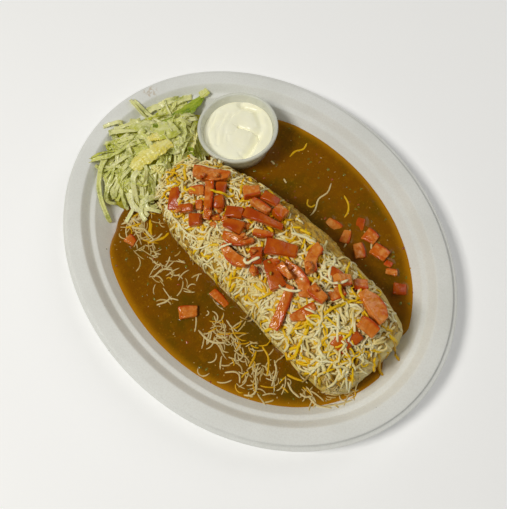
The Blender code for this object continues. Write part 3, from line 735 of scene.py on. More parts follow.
cheese_low, cheese_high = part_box("cheese")
roll_low = cheese_low.x - 0.02, cheese_low.y - 0.004
roll_high = cheese_high.x + 0.02, cheese_high.y + 0.004
roll_pile = Pile([tortilla, melt], roll_low, roll_high)


def strew_on_roll(chance, count, orange):
    """Loose shreds over the blanket: short and fine on the left, long and curly on the right."""
    strands = []
    for _ in range(count * 3):
        if len(strands) == count:
            break
        share = chance.uniform(0, 1)
        x = cheese_low.x + 0.003 + share * (cheese_high.x - cheese_low.x - 0.010)
        y = chance.normal(-0.002, 0.021) - 0.004 * (1 - share)
        near_side = np.clip((-y - 0.020) / 0.012, 0, 1)
        far_side = np.clip((y - 0.016) / 0.014, 0, 1)
        middle = np.exp(-(((share - 0.47) / 0.16) ** 2))
        if chance.random() < 0.85 * far_side or chance.random() < 0.4 * near_side * (0.4 + middle):
            continue
        curly = np.clip((share - 0.45) * 3, 0, 1)
        length = (6 + 8 * chance.random() + curly * (4 + 8 * chance.random())) * MM
        width = (1.05 + 0.5 * chance.random() + 0.35 * curly) * MM
        if orange:
            length *= 0.9 + 0.5 * chance.random()
            width *= 1.3
        bends = chance.normal(0, 0.10 + 0.12 * curly, 8) + chance.normal(0, 0.09 + 0.16 * curly)
        turn, stiff = chance.uniform(0, math.tau), chance.random() < 0.25
        laid = roll_pile.lay(x, y, turn, length, width, 0.8 * width, bends, sink=0.42, stiff=stiff)
        add_shred(strands, laid, chance, width, 0.75, (0, 1))
    return strands


def strew_melted(chance, count):
    """Softened shreds on the near side, flattened and half run together, down to the sauce."""
    strands = []
    for _ in range(count):
        share = chance.beta(1.3, 1.5)
        x = cheese_low.x + 0.004 + share * 0.150
        y = cheese_low.y + 0.001 + 0.022 * chance.random() ** 1.3 - 0.006 * (1 - share)
        width = chance.uniform(1.1, 2.0) * MM
        bends = chance.normal(0, 0.22, 8) + chance.normal(0, 0.15)
        turn, length = chance.uniform(0, math.tau), chance.uniform(5, 13) * MM
        laid = roll_pile.lay(x, y, turn, length, width, 0.5 * width, bends, sink=0.6)
        add_shred(strands, laid, chance, width, 0.55, (0.5, 1))
    return strands


MELTED_COUNT = 380
MELTED_ORANGE = 44
# The loose shreds over the whole roll, in the order that they fall: (orange, count)
SHREDS_ON_ROLL = ((False, 420), (True, 150), (False, 420), (True, 110), (False, 170))

shred_chance = np.random.default_rng(7)
melted_strands = strew_melted(shred_chance, MELTED_COUNT)
# The white shreds and the orange ones
strewn = [melted_strands[MELTED_ORANGE:], melted_strands[:MELTED_ORANGE]]
for is_orange, shred_count in SHREDS_ON_ROLL:
    strewn[is_orange] += strew_on_roll(shred_chance, shred_count, is_orange)


def strew_heap(chance, count, middle, spread, lengths, widths):
    """A loose heap of shreds on the roll round one spot, in millimetres."""
    strands = []
    for _ in range(count):
        x, y = np.array(middle) * MM + chance.normal(0, 1, 2) * np.array(spread) * MM
        width = chance.uniform(*widths) * MM
        length = chance.uniform(*lengths) * MM
        bends = chance.normal(0, 0.10, 8) + chance.normal(0, 0.1)
        turn = chance.uniform(0, math.tau)
        laid = roll_pile.lay(x, y, turn, length, width, 0.8 * width, bends, sink=0.3, stiff=True)
        add_shred(strands, laid, chance, width, 0.75, (0, 0.9))
    return strands


# Heaps of loose shreds on the roll: (white, orange, middle, spread, lengths, widths) in millimetres
HEAPS_ON_ROLL = (
    (90, 12, (-84, -10), (4, 9), (7, 15), (1.1, 1.9)),
    (60, 10, (-80, 6), (4, 6), (7, 14), (1.1, 1.8)),
    (70, 10, (-72, -8), (7, 8), (8, 16), (1.2, 2.0)),
    (60, 12, (-66, -24), (7, 5), (7, 14), (1.1, 1.8)),
    (70, 12, (-48, -26), (9, 5), (7, 14), (1.1, 1.9)),
    (50, 8, (-34, -14), (8, 6), (7, 14), (1.1, 1.9)),
    (46, 8, (-56, 2), (8, 8), (7, 15), (1.1, 1.9)),
    (44, 12, (90, -8), (9, 10), (12, 24), (1.2, 1.9)),
    (26, 8, (84, 16), (9, 6), (10, 22), (1.2, 1.8)),
    (18, 8, (107, -4), (4, 13), (8, 18), (1.1, 1.7)),
    (16, 7, (102, -26), (7, 5), (8, 18), (1.1, 1.7)),
    (10, 4, (114, -16), (4, 8), (7, 14), (1.1, 1.7)),
    (10, 5, (114, 6), (4, 9), (7, 14), (1.1, 1.7)),
)
for *heap_counts, middle, spread, lengths, widths in HEAPS_ON_ROLL:
    for is_orange, shred_count in enumerate(heap_counts):
        strewn[is_orange] += strew_heap(shred_chance, shred_count, middle, spread, lengths, widths)

# Long shreds that lie on top of the rest: (orange, width, path) in millimetres
LONG_SHREDS_ON_ROLL = (
    (True, 2.0, ((-69, -3), (-60, -7), (-53, -13))),
    (True, 1.9, ((-57, -18), (-48, -16), (-40, -15))),
    (False, 2.0, ((25, 15), (33, 20), (41, 23))),
    (True, 1.8, ((26, 22), (34, 25))),
    (False, 1.6, ((52, 10), (62, 9), (70, 10), (74, 17))),
    (False, 1.9, ((56, 26), (60, 20), (62, 15), (66, 11))),
    (True, 2.1, ((79, -10), (82, 0), (87, 15))),
    (True, 1.9, ((74, -16), (82, -18))),
    (False, 1.7, ((84, 1), (90, -4), (96, -12))),
    (True, 1.9, ((70, 34), (77, 32), (84, 31))),
    (True, 1.5, ((86, 31), (92, 32), (94, 29), (91, 26))),
    (False, 1.3, ((17, -19), (18, -14), (21, -13))),
    (True, 1.7, ((44, -31), (46, -26), (47, -20))),
    (False, 1.8, ((60, -20), (68, -24), (76, -30))),
    (False, 1.7, ((66, -8), (72, -14), (73, -21), (69, -25))),
    (False, 1.8, ((96, 4), (101, 0), (103, -7), (100, -12))),
    (False, 1.6, ((88, -20), (95, -24), (102, -23))),
    (False, 1.8, ((98, 22), (104, 20), (108, 15), (106, 10))),
    (False, 1.5, ((-50, -34), (-40, -34), (-28, -36), (-16, -33))),
    (True, 1.6, ((60, -28), (68, -31), (78, -33))),
    (True, 1.8, ((52, -30), (58, -25), (66, -22))),
)
SHRED_STATIONS = 12


def lay_long_shreds(rows, strands, pile, chance, sink, tone):
    """Lays chosen shreds one by one along their paths, and adds each to the strands of its colour."""
    for is_orange, width, path in rows:
        laid = pile.lay_path(path, SHRED_STATIONS, 0.8 * width * MM, sink)
        widths = shred_widths(chance, SHRED_STATIONS, width * MM)
        strands[is_orange].append((*laid, widths, 0.7 * widths, tone))


lay_long_shreds(LONG_SHREDS_ON_ROLL, strewn, roll_pile, shred_chance, sink=0.1, tone=0.2)

# Clusters of shreds on the sauce, in millimetres: (x, y, spread along, spread across, turn, white, orange)
SHREDS_ON_SAUCE = (
    (-71, -50, 7, 5, -30, 26, 6),
    (-66, -60, 6, 4, 20, 6, 2),
    (-42, -60, 10, 5, 25, 22, 1),
    (-24, -63, 9, 6, 60, 12, 0),
    (-11, -64, 6, 10, 80, 9, 1),
    (31, -60, 9, 5, 10, 22, 7),
    (50, -58, 12, 6, -15, 34, 7),
    (66, -60, 9, 9, -60, 20, 4),
    (80, -62, 7, 9, 70, 10, 1),
    (97, -46, 7, 4, 20, 6, 3),
    (112, -34, 8, 5, 35, 16, 1),
    (119, -24, 6, 9, 60, 12, 3),
)
pool_pile = Pile([sauce, plate, tortilla, melt], (-0.100, -0.095), (0.140, 0.100))
MORE_WHITE = 1.3
# How far up the wall a shred may reach: from this far right it is higher, as the sauce is at the right end
WALL_CLIMB = 1.2 * MM
RIGHT_END = 100
RIGHT_END_CLIMB = 4 * MM


def strew_on_sauce(chance, orange):
    """The clusters of shreds that slid off onto the sauce."""
    strands = []
    for x, y, along, across, turn, white_count, orange_count in SHREDS_ON_SAUCE:
        main = math.radians(turn)
        highest = SAUCE_LEVEL + (RIGHT_END_CLIMB if x > RIGHT_END else WALL_CLIMB)
        for _ in range(orange_count if orange else int(MORE_WHITE * white_count)):
            down, over = chance.normal(0, along * MM), chance.normal(0, across * MM)
            start_x = x * MM + down * math.cos(main) - over * math.sin(main)
            start_y = y * MM + down * math.sin(main) + over * math.cos(main)
            length = chance.uniform(5, 15) * MM
            width = chance.uniform(0.7, 1.15) * MM
            bends = chance.normal(0, 0.08, 9) + chance.normal(0, 0.16)
            heading = main + chance.normal(0, 0.9)
            laid = pool_pile.lay(start_x, start_y, heading, length, width, 0.8 * width, bends, 0.66)
            if laid is not None and plate_height(*laid[0][[0, -1], :2].T).max() < highest:
                add_shred(strands, laid, chance, width, 0.75, (0.2, 1))
    return strands


soaked = [strew_on_sauce(shred_chance, is_orange) for is_orange in (False, True)]

# Long shreds on the sauce and over the right end: (orange, width, path) in millimetres
LONG_SHREDS_ON_SAUCE = (
    (False, 1.6, ((-78, -64), (-74, -55), (-70, -46))),
    (False, 1.5, ((-80, -58), (-74, -54), (-68, -53))),
    (False, 1.6, ((-76, -60), (-68, -58), (-62, -52))),
    (True, 1.8, ((-73, -63), (-70, -57), (-68, -52))),
    (True, 1.8, ((-66, -45), (-61, -49), (-57, -54))),
    (True, 2.0, ((-52, -58), (-50, -52), (-47, -47), (-48, -41))),
    (False, 1.4, ((-63, -53), (-57, -53), (-50, -53))),
    (False, 1.3, ((-8, -70), (-7, -75), (-10, -82))),
    (False, 1.4, ((-23, -57), (-29, -62), (-28, -71))),
    (False, 1.6, ((24, -71), (32, -71), (38, -69), (44, -62))),
    (True, 1.6, ((62, -45), (70, -46), (75, -50), (80, -56))),
    (True, 1.6, ((62, -50), (65, -55), (67, -61))),
    (False, 1.4, ((70, -55), (75, -63), (82, -66), (84, -72), (79, -76))),
    (False, 1.4, ((75, -45), (81, -48), (84, -53), (87, -58))),
    (False, 1.3, ((59, -76), (63, -70), (67, -69), (71, -73))),
    (False, 1.5, ((92, -48), (98, -50), (105, -49))),
    (True, 1.8, ((88, -45), (93, -43), (98, -40))),
    (False, 1.5, ((103, -47), (107, -46), (110, -42))),
    (True, 1.9, ((-63, -46), (-59, -50), (-55, -52))),
    (False, 1.3, ((-51, -45), (-50, -51), (-52, -57))),
    (True, 1.5, ((3, -72), (7, -66), (10, -61))),
    (True, 1.5, ((-35, 86), (-32, 80), (-36, 75), (-35, 68))),
    (False, 1.3, ((3, 76), (8, 68), (5, 60), (12, 52), (12, 46))),
    (True, 1.5, ((17, 76), (24, 74), (29, 69), (30, 64))),
    (True, 1.4, ((1, 54), (4, 50), (8, 51), (8, 55))),
    (False, 1.3, ((40, 60), (45, 54), (47, 47))),
    (False, 1.5, ((57, 66), (59, 63), (61, 61))),
    (False, 1.4, ((-42, 55), (-38, 55))),
    (False, 1.4, ((-24, 52), (-20, 51))),
    (True, 2.2, ((106, 19), (114, 19), (122, 18), (131, 17.5))),
    (True, 1.9, ((116, 5), (122, 4), (131, 3))),
    (False, 1.6, ((120, -40), (126, -32), (129, -24))),
    (False, 1.5, ((114, -34), (121, -28), (127, -16))),
    (False, 1.5, ((108, -44), (116, -44), (124, -38))),
)
lay_long_shreds(LONG_SHREDS_ON_SAUCE, soaked, pool_pile, shred_chance, sink=0.6, tone=0.3)

# (name, a pale shred, a deep one, where it has softened)
CHEESE_FINISHES = (
    ("white_cheese", (255, 246, 200), (242, 220, 142), (218, 188, 84)),
    ("orange_cheese", (250, 206, 14), (238, 184, 0), (222, 178, 24)),
    ("soaked_white_cheese", (236, 220, 168), (206, 176, 104), (180, 142, 58)),
    ("soaked_orange_cheese", (238, 190, 10), (216, 160, 0), (190, 136, 8)),
)
for strands, finish in zip(strewn + soaked, CHEESE_FINISHES):
    shreds = strand_mesh(finish[0] + "_shreds", strands, SHRED_SECTION)
    shreds.data.materials.append(make_cheese_material(*finish))
    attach(shreds, "root")

# ---------------------------------------------------------------- bits in the sauce
# Chopped chile, scraps of tomato, chile seeds and ground pepper, stirred into the sauce. Most of each bit is
# under the face of the sauce, and what stands out is wet.

# The bits are strewn between these bounds, wherever the sauce lies open
BITS_X = (-0.105, 0.118)
BITS_Y = (-0.088, 0.090)


def is_open_sauce(x, y):
    """Whether the sauce is what shows here, with nothing lying on it."""
    found = pool_pile.cell(x, y)
    if found is None or pool_pile.depth[found] >= 0.3 * MM:
        return False
    return abs(pool_pile.height[found] - SAUCE_LEVEL) < 0.5 * MM


def lump_shape(fineness):
    """The points and faces of a small ball, to be made uneven."""
    bpy.ops.mesh.primitive_ico_sphere_add(subdivisions=fineness, radius=0.5)
    lump = bpy.context.object
    shape = read_points(lump)
    faces = [tuple(face.vertices) for face in lump.data.polygons]
    bpy.data.objects.remove(lump)
    return shape, faces


def place_lump(uneven, x, y, turn, ground, raised):
    """The lump's points, turned about the upright and set on the ground."""
    return np.column_stack([
        x + uneven[:, 0] * math.cos(turn) - uneven[:, 1] * math.sin(turn),
        y + uneven[:, 0] * math.sin(turn) + uneven[:, 1] * math.cos(turn),
        ground + uneven[:, 2] + raised,
    ])


def strew_bits(name, count, lengths, flatness, proud, fineness, chance):
    """Many small uneven lumps in the sauce, all in one piece."""
    shape, lump_faces = lump_shape(fineness)
    points, faces, tones = [], [], []
    while len(points) < count:
        x, y = chance.uniform(*BITS_X), chance.uniform(*BITS_Y)
        if not is_open_sauce(x, y):
            continue
        length = chance.uniform(*lengths) * MM
        sizes = np.array((length, length * chance.uniform(0.4, 0.9), length * flatness))
        turn = chance.uniform(0, math.tau)
        uneven = shape * sizes * chance.uniform(0.75, 1.25, (len(shape), 1))
        ground = pool_pile.height[pool_pile.cell(x, y)]
        faces += [tuple(len(points) * len(shape) + corner for corner in face) for face in lump_faces]
        points.append(place_lump(uneven, x, y, turn, ground, (proud - 0.5) * length * flatness))
        tones.append(np.full(len(shape), chance.uniform(0, 1)))
    piece = new_piece(name, points, faces)
    write_values(piece, "tone", np.concatenate(tones))
    smooth(piece)
    return piece


def make_bit_material(name, one, other):
    """Wet cooked bits, from one colour to another."""
    material, tree, shader = new_material(name, Roughness=0.16, Specular_IOR_Level=0.5)
    colour = blend_colours(tree, read_attribute(tree, "tone"), one, other)
    colour = lay_patches(tree, colour, (120, 76, 14), per_metre=900.0, low=0.4, high=0.65, share=0.4)
    tree.links.new(colour, shader["Base Color"])
    return material


# (name, one colour, other colour, (count, lengths in millimetres, flatness, share that stands out, fineness))
SAUCE_BITS = (
    ("chile_bits", (132, 128, 30), (104, 92, 14), (110, (1.4, 3.6), 0.35, 0.22, 2)),
    ("tomato_scraps", (170, 70, 20), (150, 84, 30), (46, (1.2, 3.2), 0.4, 0.25, 2)),
    ("chile_seeds", (216, 176, 92), (190, 138, 48), (80, (0.9, 1.7), 0.4, 0.5, 1)),
    ("ground_pepper", (50, 38, 12), (84, 66, 20), (230, (0.25, 0.6), 0.7, 0.6, 1)),
    ("cheese_crumbs", (226, 200, 140), (196, 158, 88), (60, (0.7, 1.8), 0.5, 0.5, 1)),
)
bit_chance = np.random.default_rng(51)
for name, one, other, shape in SAUCE_BITS:
    bits = strew_bits(name, *shape, bit_chance)
    bits.data.materials.append(make_bit_material(name, one, other))
    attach(bits, "root")

# ---------------------------------------------------------------- tomato
# Ripe tomato cut into dice, strips and wedges. Each piece keeps a strip of glossy skin on one side, and the
# cut flesh under it pales from red to salmon. Some landed in the sauce and half sank.

TOMATO_MESH = 0.56 * MM
TOMATO_GROW = 1.05
TOMATO_TAPER = 0.28
TOMATO_CURVE = 0.10
TOMATO_SKIN_DROP = 1.1 * MM
TOMATO_HOLLOW = 0.12 * MM
TOMATO_BOW = 0.5 * MM
# How much higher the pieces in the sauce lie
TOMATO_FLOAT = 0.35 * MM
PULP_RAISED = 1.6 * MM
# The numbers of the pieces that lie with their skin upwards
TOMATO_SKIN_UP = {2, 3, 7, 8, 9, 11, 14, 16, 17, 20, 22, 25, 31, 36, 37, 38, 44, 46}


def make_tomato_material():
    """Tomato: smooth red skin, and wet flesh that pales with its depth under the skin."""
    material, tree, shader = new_material(
        "tomato", Roughness=0.2, Specular_IOR_Level=0.3, Subsurface_Weight=0.12, Subsurface_Scale=0.0016,
        Subsurface_Radius=(1.0, 0.5, 0.2),
    )
    depth = read_attribute(tree, "peel")
    flesh = blend_colours(tree, read_attribute(tree, "tone"), (204, 94, 4), (224, 134, 46))
    flesh = lay_patches(tree, flesh, (240, 170, 92), per_metre=240.0, low=0.38, high=0.72, share=0.6)
    flesh = lay_patches(tree, flesh, (190, 62, 0), per_metre=150.0, low=0.5, high=0.68, share=0.55)
    under = blend_colours(tree, scale_value(tree, depth, 0.0006, 0.0034), (196, 66, 0), flesh)
    skin = lay_patches(tree, (176, 64, 4), (202, 100, 12), per_metre=90.0, low=0.35, high=0.7)
    colour = blend_colours(tree, scale_value(tree, depth, 0.0003, 0.0008), skin, under)
    tree.links.new(scale_value(tree, depth, 0.0003, 0.0012, 0.2, 0.1), shader["Roughness"])
    finish_faces(tree, shader, colour, coarse=260.0, fine=1000.0, fine_share=0.25, depth=0.0005)
    return material


def make_tomato_piece(node, number, chance):
    """One cut piece: keen edges, a rounded skin side, hollowed cut faces, and its depth under that skin."""
    piece = copy_solid("cut_" + node, node)
    corners = read_points(piece)
    middle = corners.mean(axis=0)
    axes = np.linalg.svd(corners - middle)[2]
    steepest = int(np.argmax(np.abs(axes[:, 2])))
    outward = axes[steepest] * np.sign(axes[steepest, 2])
    if number not in TOMATO_SKIN_UP:
        flat = [axis for k, axis in enumerate(axes) if k != steepest]
        outward = flat[-1] * chance.choice((-1, 1))
    shares = (corners - middle) @ axes.T
    longest, widest = (k for k in range(3) if k != steepest)
    lengthwise = shares[:, longest]
    reach = np.abs(lengthwise).max()
    shares[:, widest] *= 1 + chance.uniform(-TOMATO_TAPER, TOMATO_TAPER) * lengthwise / reach
    shares[:, widest] += chance.uniform(-TOMATO_CURVE, TOMATO_CURVE) * lengthwise**2 / reach
    write_points(piece, middle + TOMATO_GROW * shares @ axes)
    refine(piece, TOMATO_MESH, 1)
    points = read_points(piece)
    away = (points - middle) @ outward
    beside = np.linalg.norm(points - middle - away[:, None] * outward, axis=1)
    near_skin = np.clip(away / max(away.max(), 1e-6), 0, 1) ** 2
    drop = TOMATO_SKIN_DROP * near_skin * (beside / beside.max()) ** 2
    slant = points[:, 0] + 0.7 * points[:, 2], points[:, 1] - 0.7 * points[:, 2]
    uneven = waves(*slant, 4.5 * MM, 300 + number) + 0.6 * waves(*slant, 1.7 * MM, 400 + number)
    bowed = waves(*slant, 14 * MM, 500 + number)
    hollowed = TOMATO_HOLLOW * (1 + uneven) * (1 - near_skin)
    points = points - drop[:, None] * outward - read_normals(piece) * hollowed[:, None]
    points[:, 2] += TOMATO_BOW * bowed
    if number > IN_SAUCE_FROM:
        points[:, 2] += TOMATO_FLOAT
    points[:, 2] = np.minimum(points[:, 2], HIGHEST)
    write_points(piece, points)
    write_values(piece, "peel", away.max() - away)
    write_values(piece, "tone", np.full(len(points), chance.uniform(0, 1)))
    return piece


def gather(name, pieces):
    """Joins finished pieces into one, with smooth faces."""
    bpy.ops.object.select_all(action="DESELECT")
    for piece in pieces:
        piece.select_set(True)
    bpy.context.view_layer.objects.active = pieces[0]
    bpy.ops.object.join()
    pieces[0].name = name
    smooth(pieces[0])
    return pieces[0]


tomato_chance = np.random.default_rng(17)
cut_tomato = [make_tomato_piece(node, k + 1, tomato_chance) for k, node in enumerate(tomato_nodes)]
tomato_finish = make_tomato_material()
for label, start, stop in (("tomato_on_cheese", 0, IN_SAUCE_FROM), ("tomato_in_sauce", IN_SAUCE_FROM, None)):
    tomatoes = gather(label, cut_tomato[start:stop])
    tomatoes.data.materials.append(tomato_finish)
    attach(tomatoes, "root")
    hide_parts(*tomato_nodes[start:stop])

topping_pile = Pile([bpy.data.objects["tomato_on_cheese"], tortilla, melt], (-0.092, -0.046), (0.126, 0.044))

# Pulp and small scraps between the tomato pieces: (x, y, length, width, height) in millimetres
TOMATO_PULP = (
    (-17, -15, 7, 5, 3), (-14, -19, 6, 4, 3), (-20, -11, 6, 4, 3), (-22, -17, 5, 4, 2.5),
    (-11, -12, 5, 3.5, 3), (2, -3, 6, 4, 3), (8, -12, 5, 4, 3), (29, -21, 6, 4, 3),
    (20, -14, 5, 3, 3), (35, -8, 6, 4, 3), (44, -4, 5, 3, 3), (-37, -31, 5, 3, 2.5),
    (-46, -4, 6, 4, 3), (-40, 4, 5, 3, 3), (52, 6, 6, 4, 3), (66, -2, 5, 4, 3),
)


def make_pulp(spots, chance):
    """Soft wet lumps where the cut tomato has given up its pulp."""
    shape, lump_faces = lump_shape(3)
    points, faces = [], []
    for number, (x, y, *sizes) in enumerate(spots):
        turn = chance.uniform(0, math.tau)
        swell = 1 + 0.28 * waves(shape[:, 0] + shape[:, 2], shape[:, 1] - shape[:, 2], 0.6, 700 + number)
        uneven = shape * np.array(sizes) * MM * swell[:, None]
        ground = topping_pile.height[topping_pile.cell(x * MM, y * MM)]
        points.append(place_lump(uneven, x * MM, y * MM, turn, ground, PULP_RAISED))
        faces += [tuple(number * len(shape) + corner for corner in face) for face in lump_faces]
    piece = new_piece("tomato_pulp", points, faces)
    placed = read_points(piece)
    placed[:, 2] = np.minimum(placed[:, 2], HIGHEST)
    write_points(piece, placed)
    write_values(piece, "peel", 3.5 * MM + 2 * MM * waves(placed[:, 0], placed[:, 1], 4 * MM, 77))
    write_values(piece, "tone", np.clip(0.5 + 0.5 * waves(placed[:, 0], placed[:, 1], 6 * MM, 78), 0, 1))
    smooth(piece)
    return piece


pulp = make_pulp(TOMATO_PULP, tomato_chance)
pulp.data.materials.append(tomato_finish)
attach(pulp, "root")

# Seeds caught in the pulp: (x, y) in millimetres
TOMATO_SEEDS = ((-17, -13), (-20, -16), (-13, -17), (-10, -20), (-15, -21), (34, -10), (40, -16), (3, -2))
seed_strands = []
for x, y in TOMATO_SEEDS:
    turn = tomato_chance.uniform(0, math.tau)
    laid = topping_pile.lay(
        x * MM, y * MM, turn, 3.2 * MM, 1.6 * MM, 0.9 * MM, np.zeros(6), sink=-1.6, stiff=True
    )
    if laid is not None:
        widths = 1.7 * MM * np.sin(np.linspace(0.25, math.pi - 0.12, len(laid[0])))
        seed_strands.append((*laid, widths, 0.5 * widths, tomato_chance.uniform(0, 1)))
seeds = strand_mesh("tomato_seeds", seed_strands, SHRED_SECTION)
seeds.data.materials.append(make_bit_material("tomato_seeds", (206, 160, 40), (176, 138, 20)))
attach(seeds, "root")

# Shreds lying on the tomato: (orange, width, path) in millimetres
SHREDS_ON_TOMATO = (
    (False, 1.9, ((19.8, -19.5), (19.5, -21.5), (22.6, -22.4), (24, -17.5), (25.6, -13))),
    (False, 1.8, ((59, 21), (61, 16), (64, 12), (69, 9), (72, 9), (75, 12), (75, 17))),
    (False, 1.8, ((88, -22), (84, -15), (85, -8))),
    (False, 1.5, ((-2, -30), (3, -26), (6, -20))),
    (False, 1.7, ((-54, -6), (-50, -12), (-47, -18))),
    (False, 1.7, ((48, -16), (55, -14), (60, -8))),
    (False, 1.6, ((70, -14), (78, -10), (84, -2))),
    (False, 1.7, ((-30, 6), (-24, 10), (-17, 9))),
    (True, 2.0, ((-70, -2), (-62, -7), (-54, -13))),
    (True, 1.9, ((34, -26), (41, -25), (48, -22))),
    (True, 1.8, ((72, 12), (80, 8), (88, 10))),
    (True, 1.8, ((-33, -6), (-28, -2), (-22, 2))),
)
on_tomato = [[], []]
lay_long_shreds(SHREDS_ON_TOMATO, on_tomato, topping_pile, tomato_chance, sink=0.05, tone=0.15)
for colour_name, strands in zip(("white", "orange"), on_tomato):
    shreds = strand_mesh(colour_name + "_shreds_on_tomato", strands, SHRED_SECTION)
    shreds.data.materials.append(bpy.data.materials[colour_name + "_cheese"])
    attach(shreds, "root")

# ---------------------------------------------------------------- lettuce
# Iceberg lettuce shredded into ribbons and heaped loosely at the end of the plate: mostly pale translucent
# rib and thin leaf, with some yellow heart leaf and a few green outer leaves. Ends lie on the plate's wall.

CORE_MESH = 1.6 * MM
CORE_FLATTEN = 0.74
CORE_NARROW = 0.88
RIBBON_STATIONS = 14
# The middle of the thrown pieces, from the heap's own, and how far out they lie
HEAP_SHIFT = (-0.001, -0.003)
HEAP_REACH = (0.033, 0.050)


def strip_section(cuts, cup):
    """The cross-section of a thin strip, whose edges rise by so many times half its thickness."""
    across = np.linspace(-1, 1, cuts)
    rise = cup * across**2
    return np.concatenate([
        np.column_stack([across, rise + 1]),
        np.column_stack([0.97 * across[::-1], rise[::-1] - 1]),
    ])


def make_lettuce_material(name, rib, blade, deep, share):
    """Lettuce: pale ribs and greener blades, moist and a little see-through, with fine veins, and a faint
    yellow-green painted glow that lifts its shade.
    """
    # The weak yellow-green emission is a painted glow: it lifts the lettuce's shade the way light shining
    # through thin leaf would.
    material, tree, shader = new_material(
        name, Roughness=0.18, Specular_IOR_Level=0.36, Subsurface_Weight=0.2, Subsurface_Scale=0.0012,
        Subsurface_Radius=(0.9, 1.0, 0.35), Emission_Strength=0.04, Emission_Color=tint(196, 188, 10),
    )
    colour = blend_colours(tree, read_attribute(tree, "tone"), rib, blade)
    colour = lay_patches(tree, colour, deep, per_metre=95.0, low=0.46, high=0.68, share=share)
    colour = lay_patches(tree, colour, rib, per_metre=520.0, low=0.5, high=0.62, share=0.4)
    finish_faces(tree, shader, colour, coarse=260.0, fine=1300.0, fine_share=0.3, depth=0.0006)
    return material


core = copy_solid("lettuce_core", "lettuce")
refine(core, CORE_MESH, 0)
heap = read_points(core)
heap_low, heap_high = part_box("lettuce")
heap_middle = np.array(((heap_low.x + heap_high.x) / 2, (heap_low.y + heap_high.y) / 2))
heap[:, :2] = heap_middle + CORE_NARROW * (heap[:, :2] - heap_middle)
heap[:, 2] = PLATE_FLOOR + CORE_FLATTEN * (heap[:, 2] - PLATE_FLOOR)
heap[:, 2] += 1.1 * MM * waves(heap[:, 0], heap[:, 1], 9 * MM, 31)
heap[:, 2] += 0.5 * MM * waves(heap[:, 0], heap[:, 1], 3.5 * MM, 32)
heap[:, 2] = np.maximum(heap[:, 2], plate_height(heap[:, 0], heap[:, 1]) - 0.6 * MM)
write_points(core, heap)
smooth(core)
# The core that shows between the ribbons is coloured dark olive: painted shade for the depths of the heap.
core.data.materials.append(
    make_lettuce_material("lettuce_core_painted_shade", (164, 156, 40), (130, 126, 12), (84, 82, 0), share=0.85)
)
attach(core, "root")
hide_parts("lettuce")

green_pile = Pile([core, plate, sauce, tortilla, melt], (-0.158, -0.085), (-0.060, 0.072), True)


def turn_about(ups, middle, angles):
    """The face directions of a ribbon, each turned about the ribbon's own line."""
    across = np.cross(unit(np.gradient(middle, axis=0)), ups)
    return ups * np.cos(angles)[:, None] + across * np.sin(angles)[:, None]


def ease_line(middle, ups, level):
    """Lets a stiff strip bridge the hollows under it, and faces it more nearly upwards."""
    share = np.linspace(0, 1, len(middle))
    bow = np.polyval(np.polyfit(share, middle[:, 2], 2), share)
    middle = middle.copy()
    middle[:, 2] = np.maximum(level * bow + (1 - level) * middle[:, 2], middle[:, 2] - 2.0 * MM)
    return middle, unit((1 - level) * ups + level * (ups.mean(axis=0) + 0.6 * UPWARDS))


def strew_lettuce(chance, count, widths, lengths, tones, spread, airy, rise, level, loose):
    """Pieces thrown on the heap from its middle outwards, each bent, twisted and a little raised."""
    strips = []
    for _ in range(count):
        turn_out = chance.uniform(0, math.tau)
        reach = spread * math.sqrt(chance.uniform(0, 1))
        x = heap_middle[0] + HEAP_SHIFT[0] + reach * HEAP_REACH[0] * math.cos(turn_out)
        y = heap_middle[1] + HEAP_SHIFT[1] + reach * HEAP_REACH[1] * math.sin(turn_out)
        length = chance.uniform(*lengths) * MM
        width = chance.uniform(*widths) * MM
        heading = turn_out + chance.choice((0, math.pi)) + chance.normal(0, loose)
        back = 0.5 * length
        bends = chance.normal(0, 0.08, 12) + chance.normal(0, 0.13)
        start = x - back * math.cos(heading), y - back * math.sin(heading)
        laid = green_pile.lay(*start, heading, length, width, airy * MM, bends, sink=0.2, stiff=True)
        if laid is None:
            continue
        middle, ups = ease_line(*laid, level)
        share = np.linspace(0, 1, len(middle))
        middle[:, 2] += chance.uniform(0, rise) * MM * np.sin(math.pi * share) ** 2
        middle[:, 2] += chance.uniform(0, 0.5 * rise) * MM * share**3 * chance.choice((0, 1))
        angles = chance.normal(0, 0.35) + np.cumsum(chance.normal(0, 0.12, len(middle)))
        narrowed = 0.82 + 0.18 * np.sin(math.pi * share) ** 0.5
        uneven = width * narrowed * chance.uniform(0.88, 1.12, len(middle))
        ups = turn_about(ups, middle, angles)
        tone = np.clip(chance.uniform(*tones) + chance.normal(0, 0.5) * (share - 0.5), 0, 1)
        thickness = np.full(len(middle), chance.uniform(0.34, 0.5) * MM)
        strips.append((middle, ups, uneven, thickness, tone))
    return strips


def ribbon_along(path, width, twist, lift, chance):
    """A ribbon along a path of chosen points: cut square at its ends, a little uneven and twisted."""
    middle, ups = ease_line(*green_pile.lay_path(path, RIBBON_STATIONS, MM, 0.0, lift), 0.5)
    angles = np.linspace(*twist, RIBBON_STATIONS) + np.cumsum(chance.normal(0, 0.05, RIBBON_STATIONS))
    widths = width * MM * chance.uniform(0.9, 1.1, RIBBON_STATIONS)
    return middle, turn_about(ups, middle, angles), widths, np.full(RIBBON_STATIONS, 0.45 * MM)


def crinkle(piece, depth, size, seed):
    """Ruffles thin leaf: its two faces move together."""
    points = read_points(piece)
    for k, weight in enumerate((0.6, 0.6, 1.0)):
        slant = points[:, 0] + 0.6 * points[:, 2], points[:, 1] - 0.5 * points[:, 2]
        points[:, k] += weight * depth * waves(*slant, size, seed + k)
    write_points(piece, points)


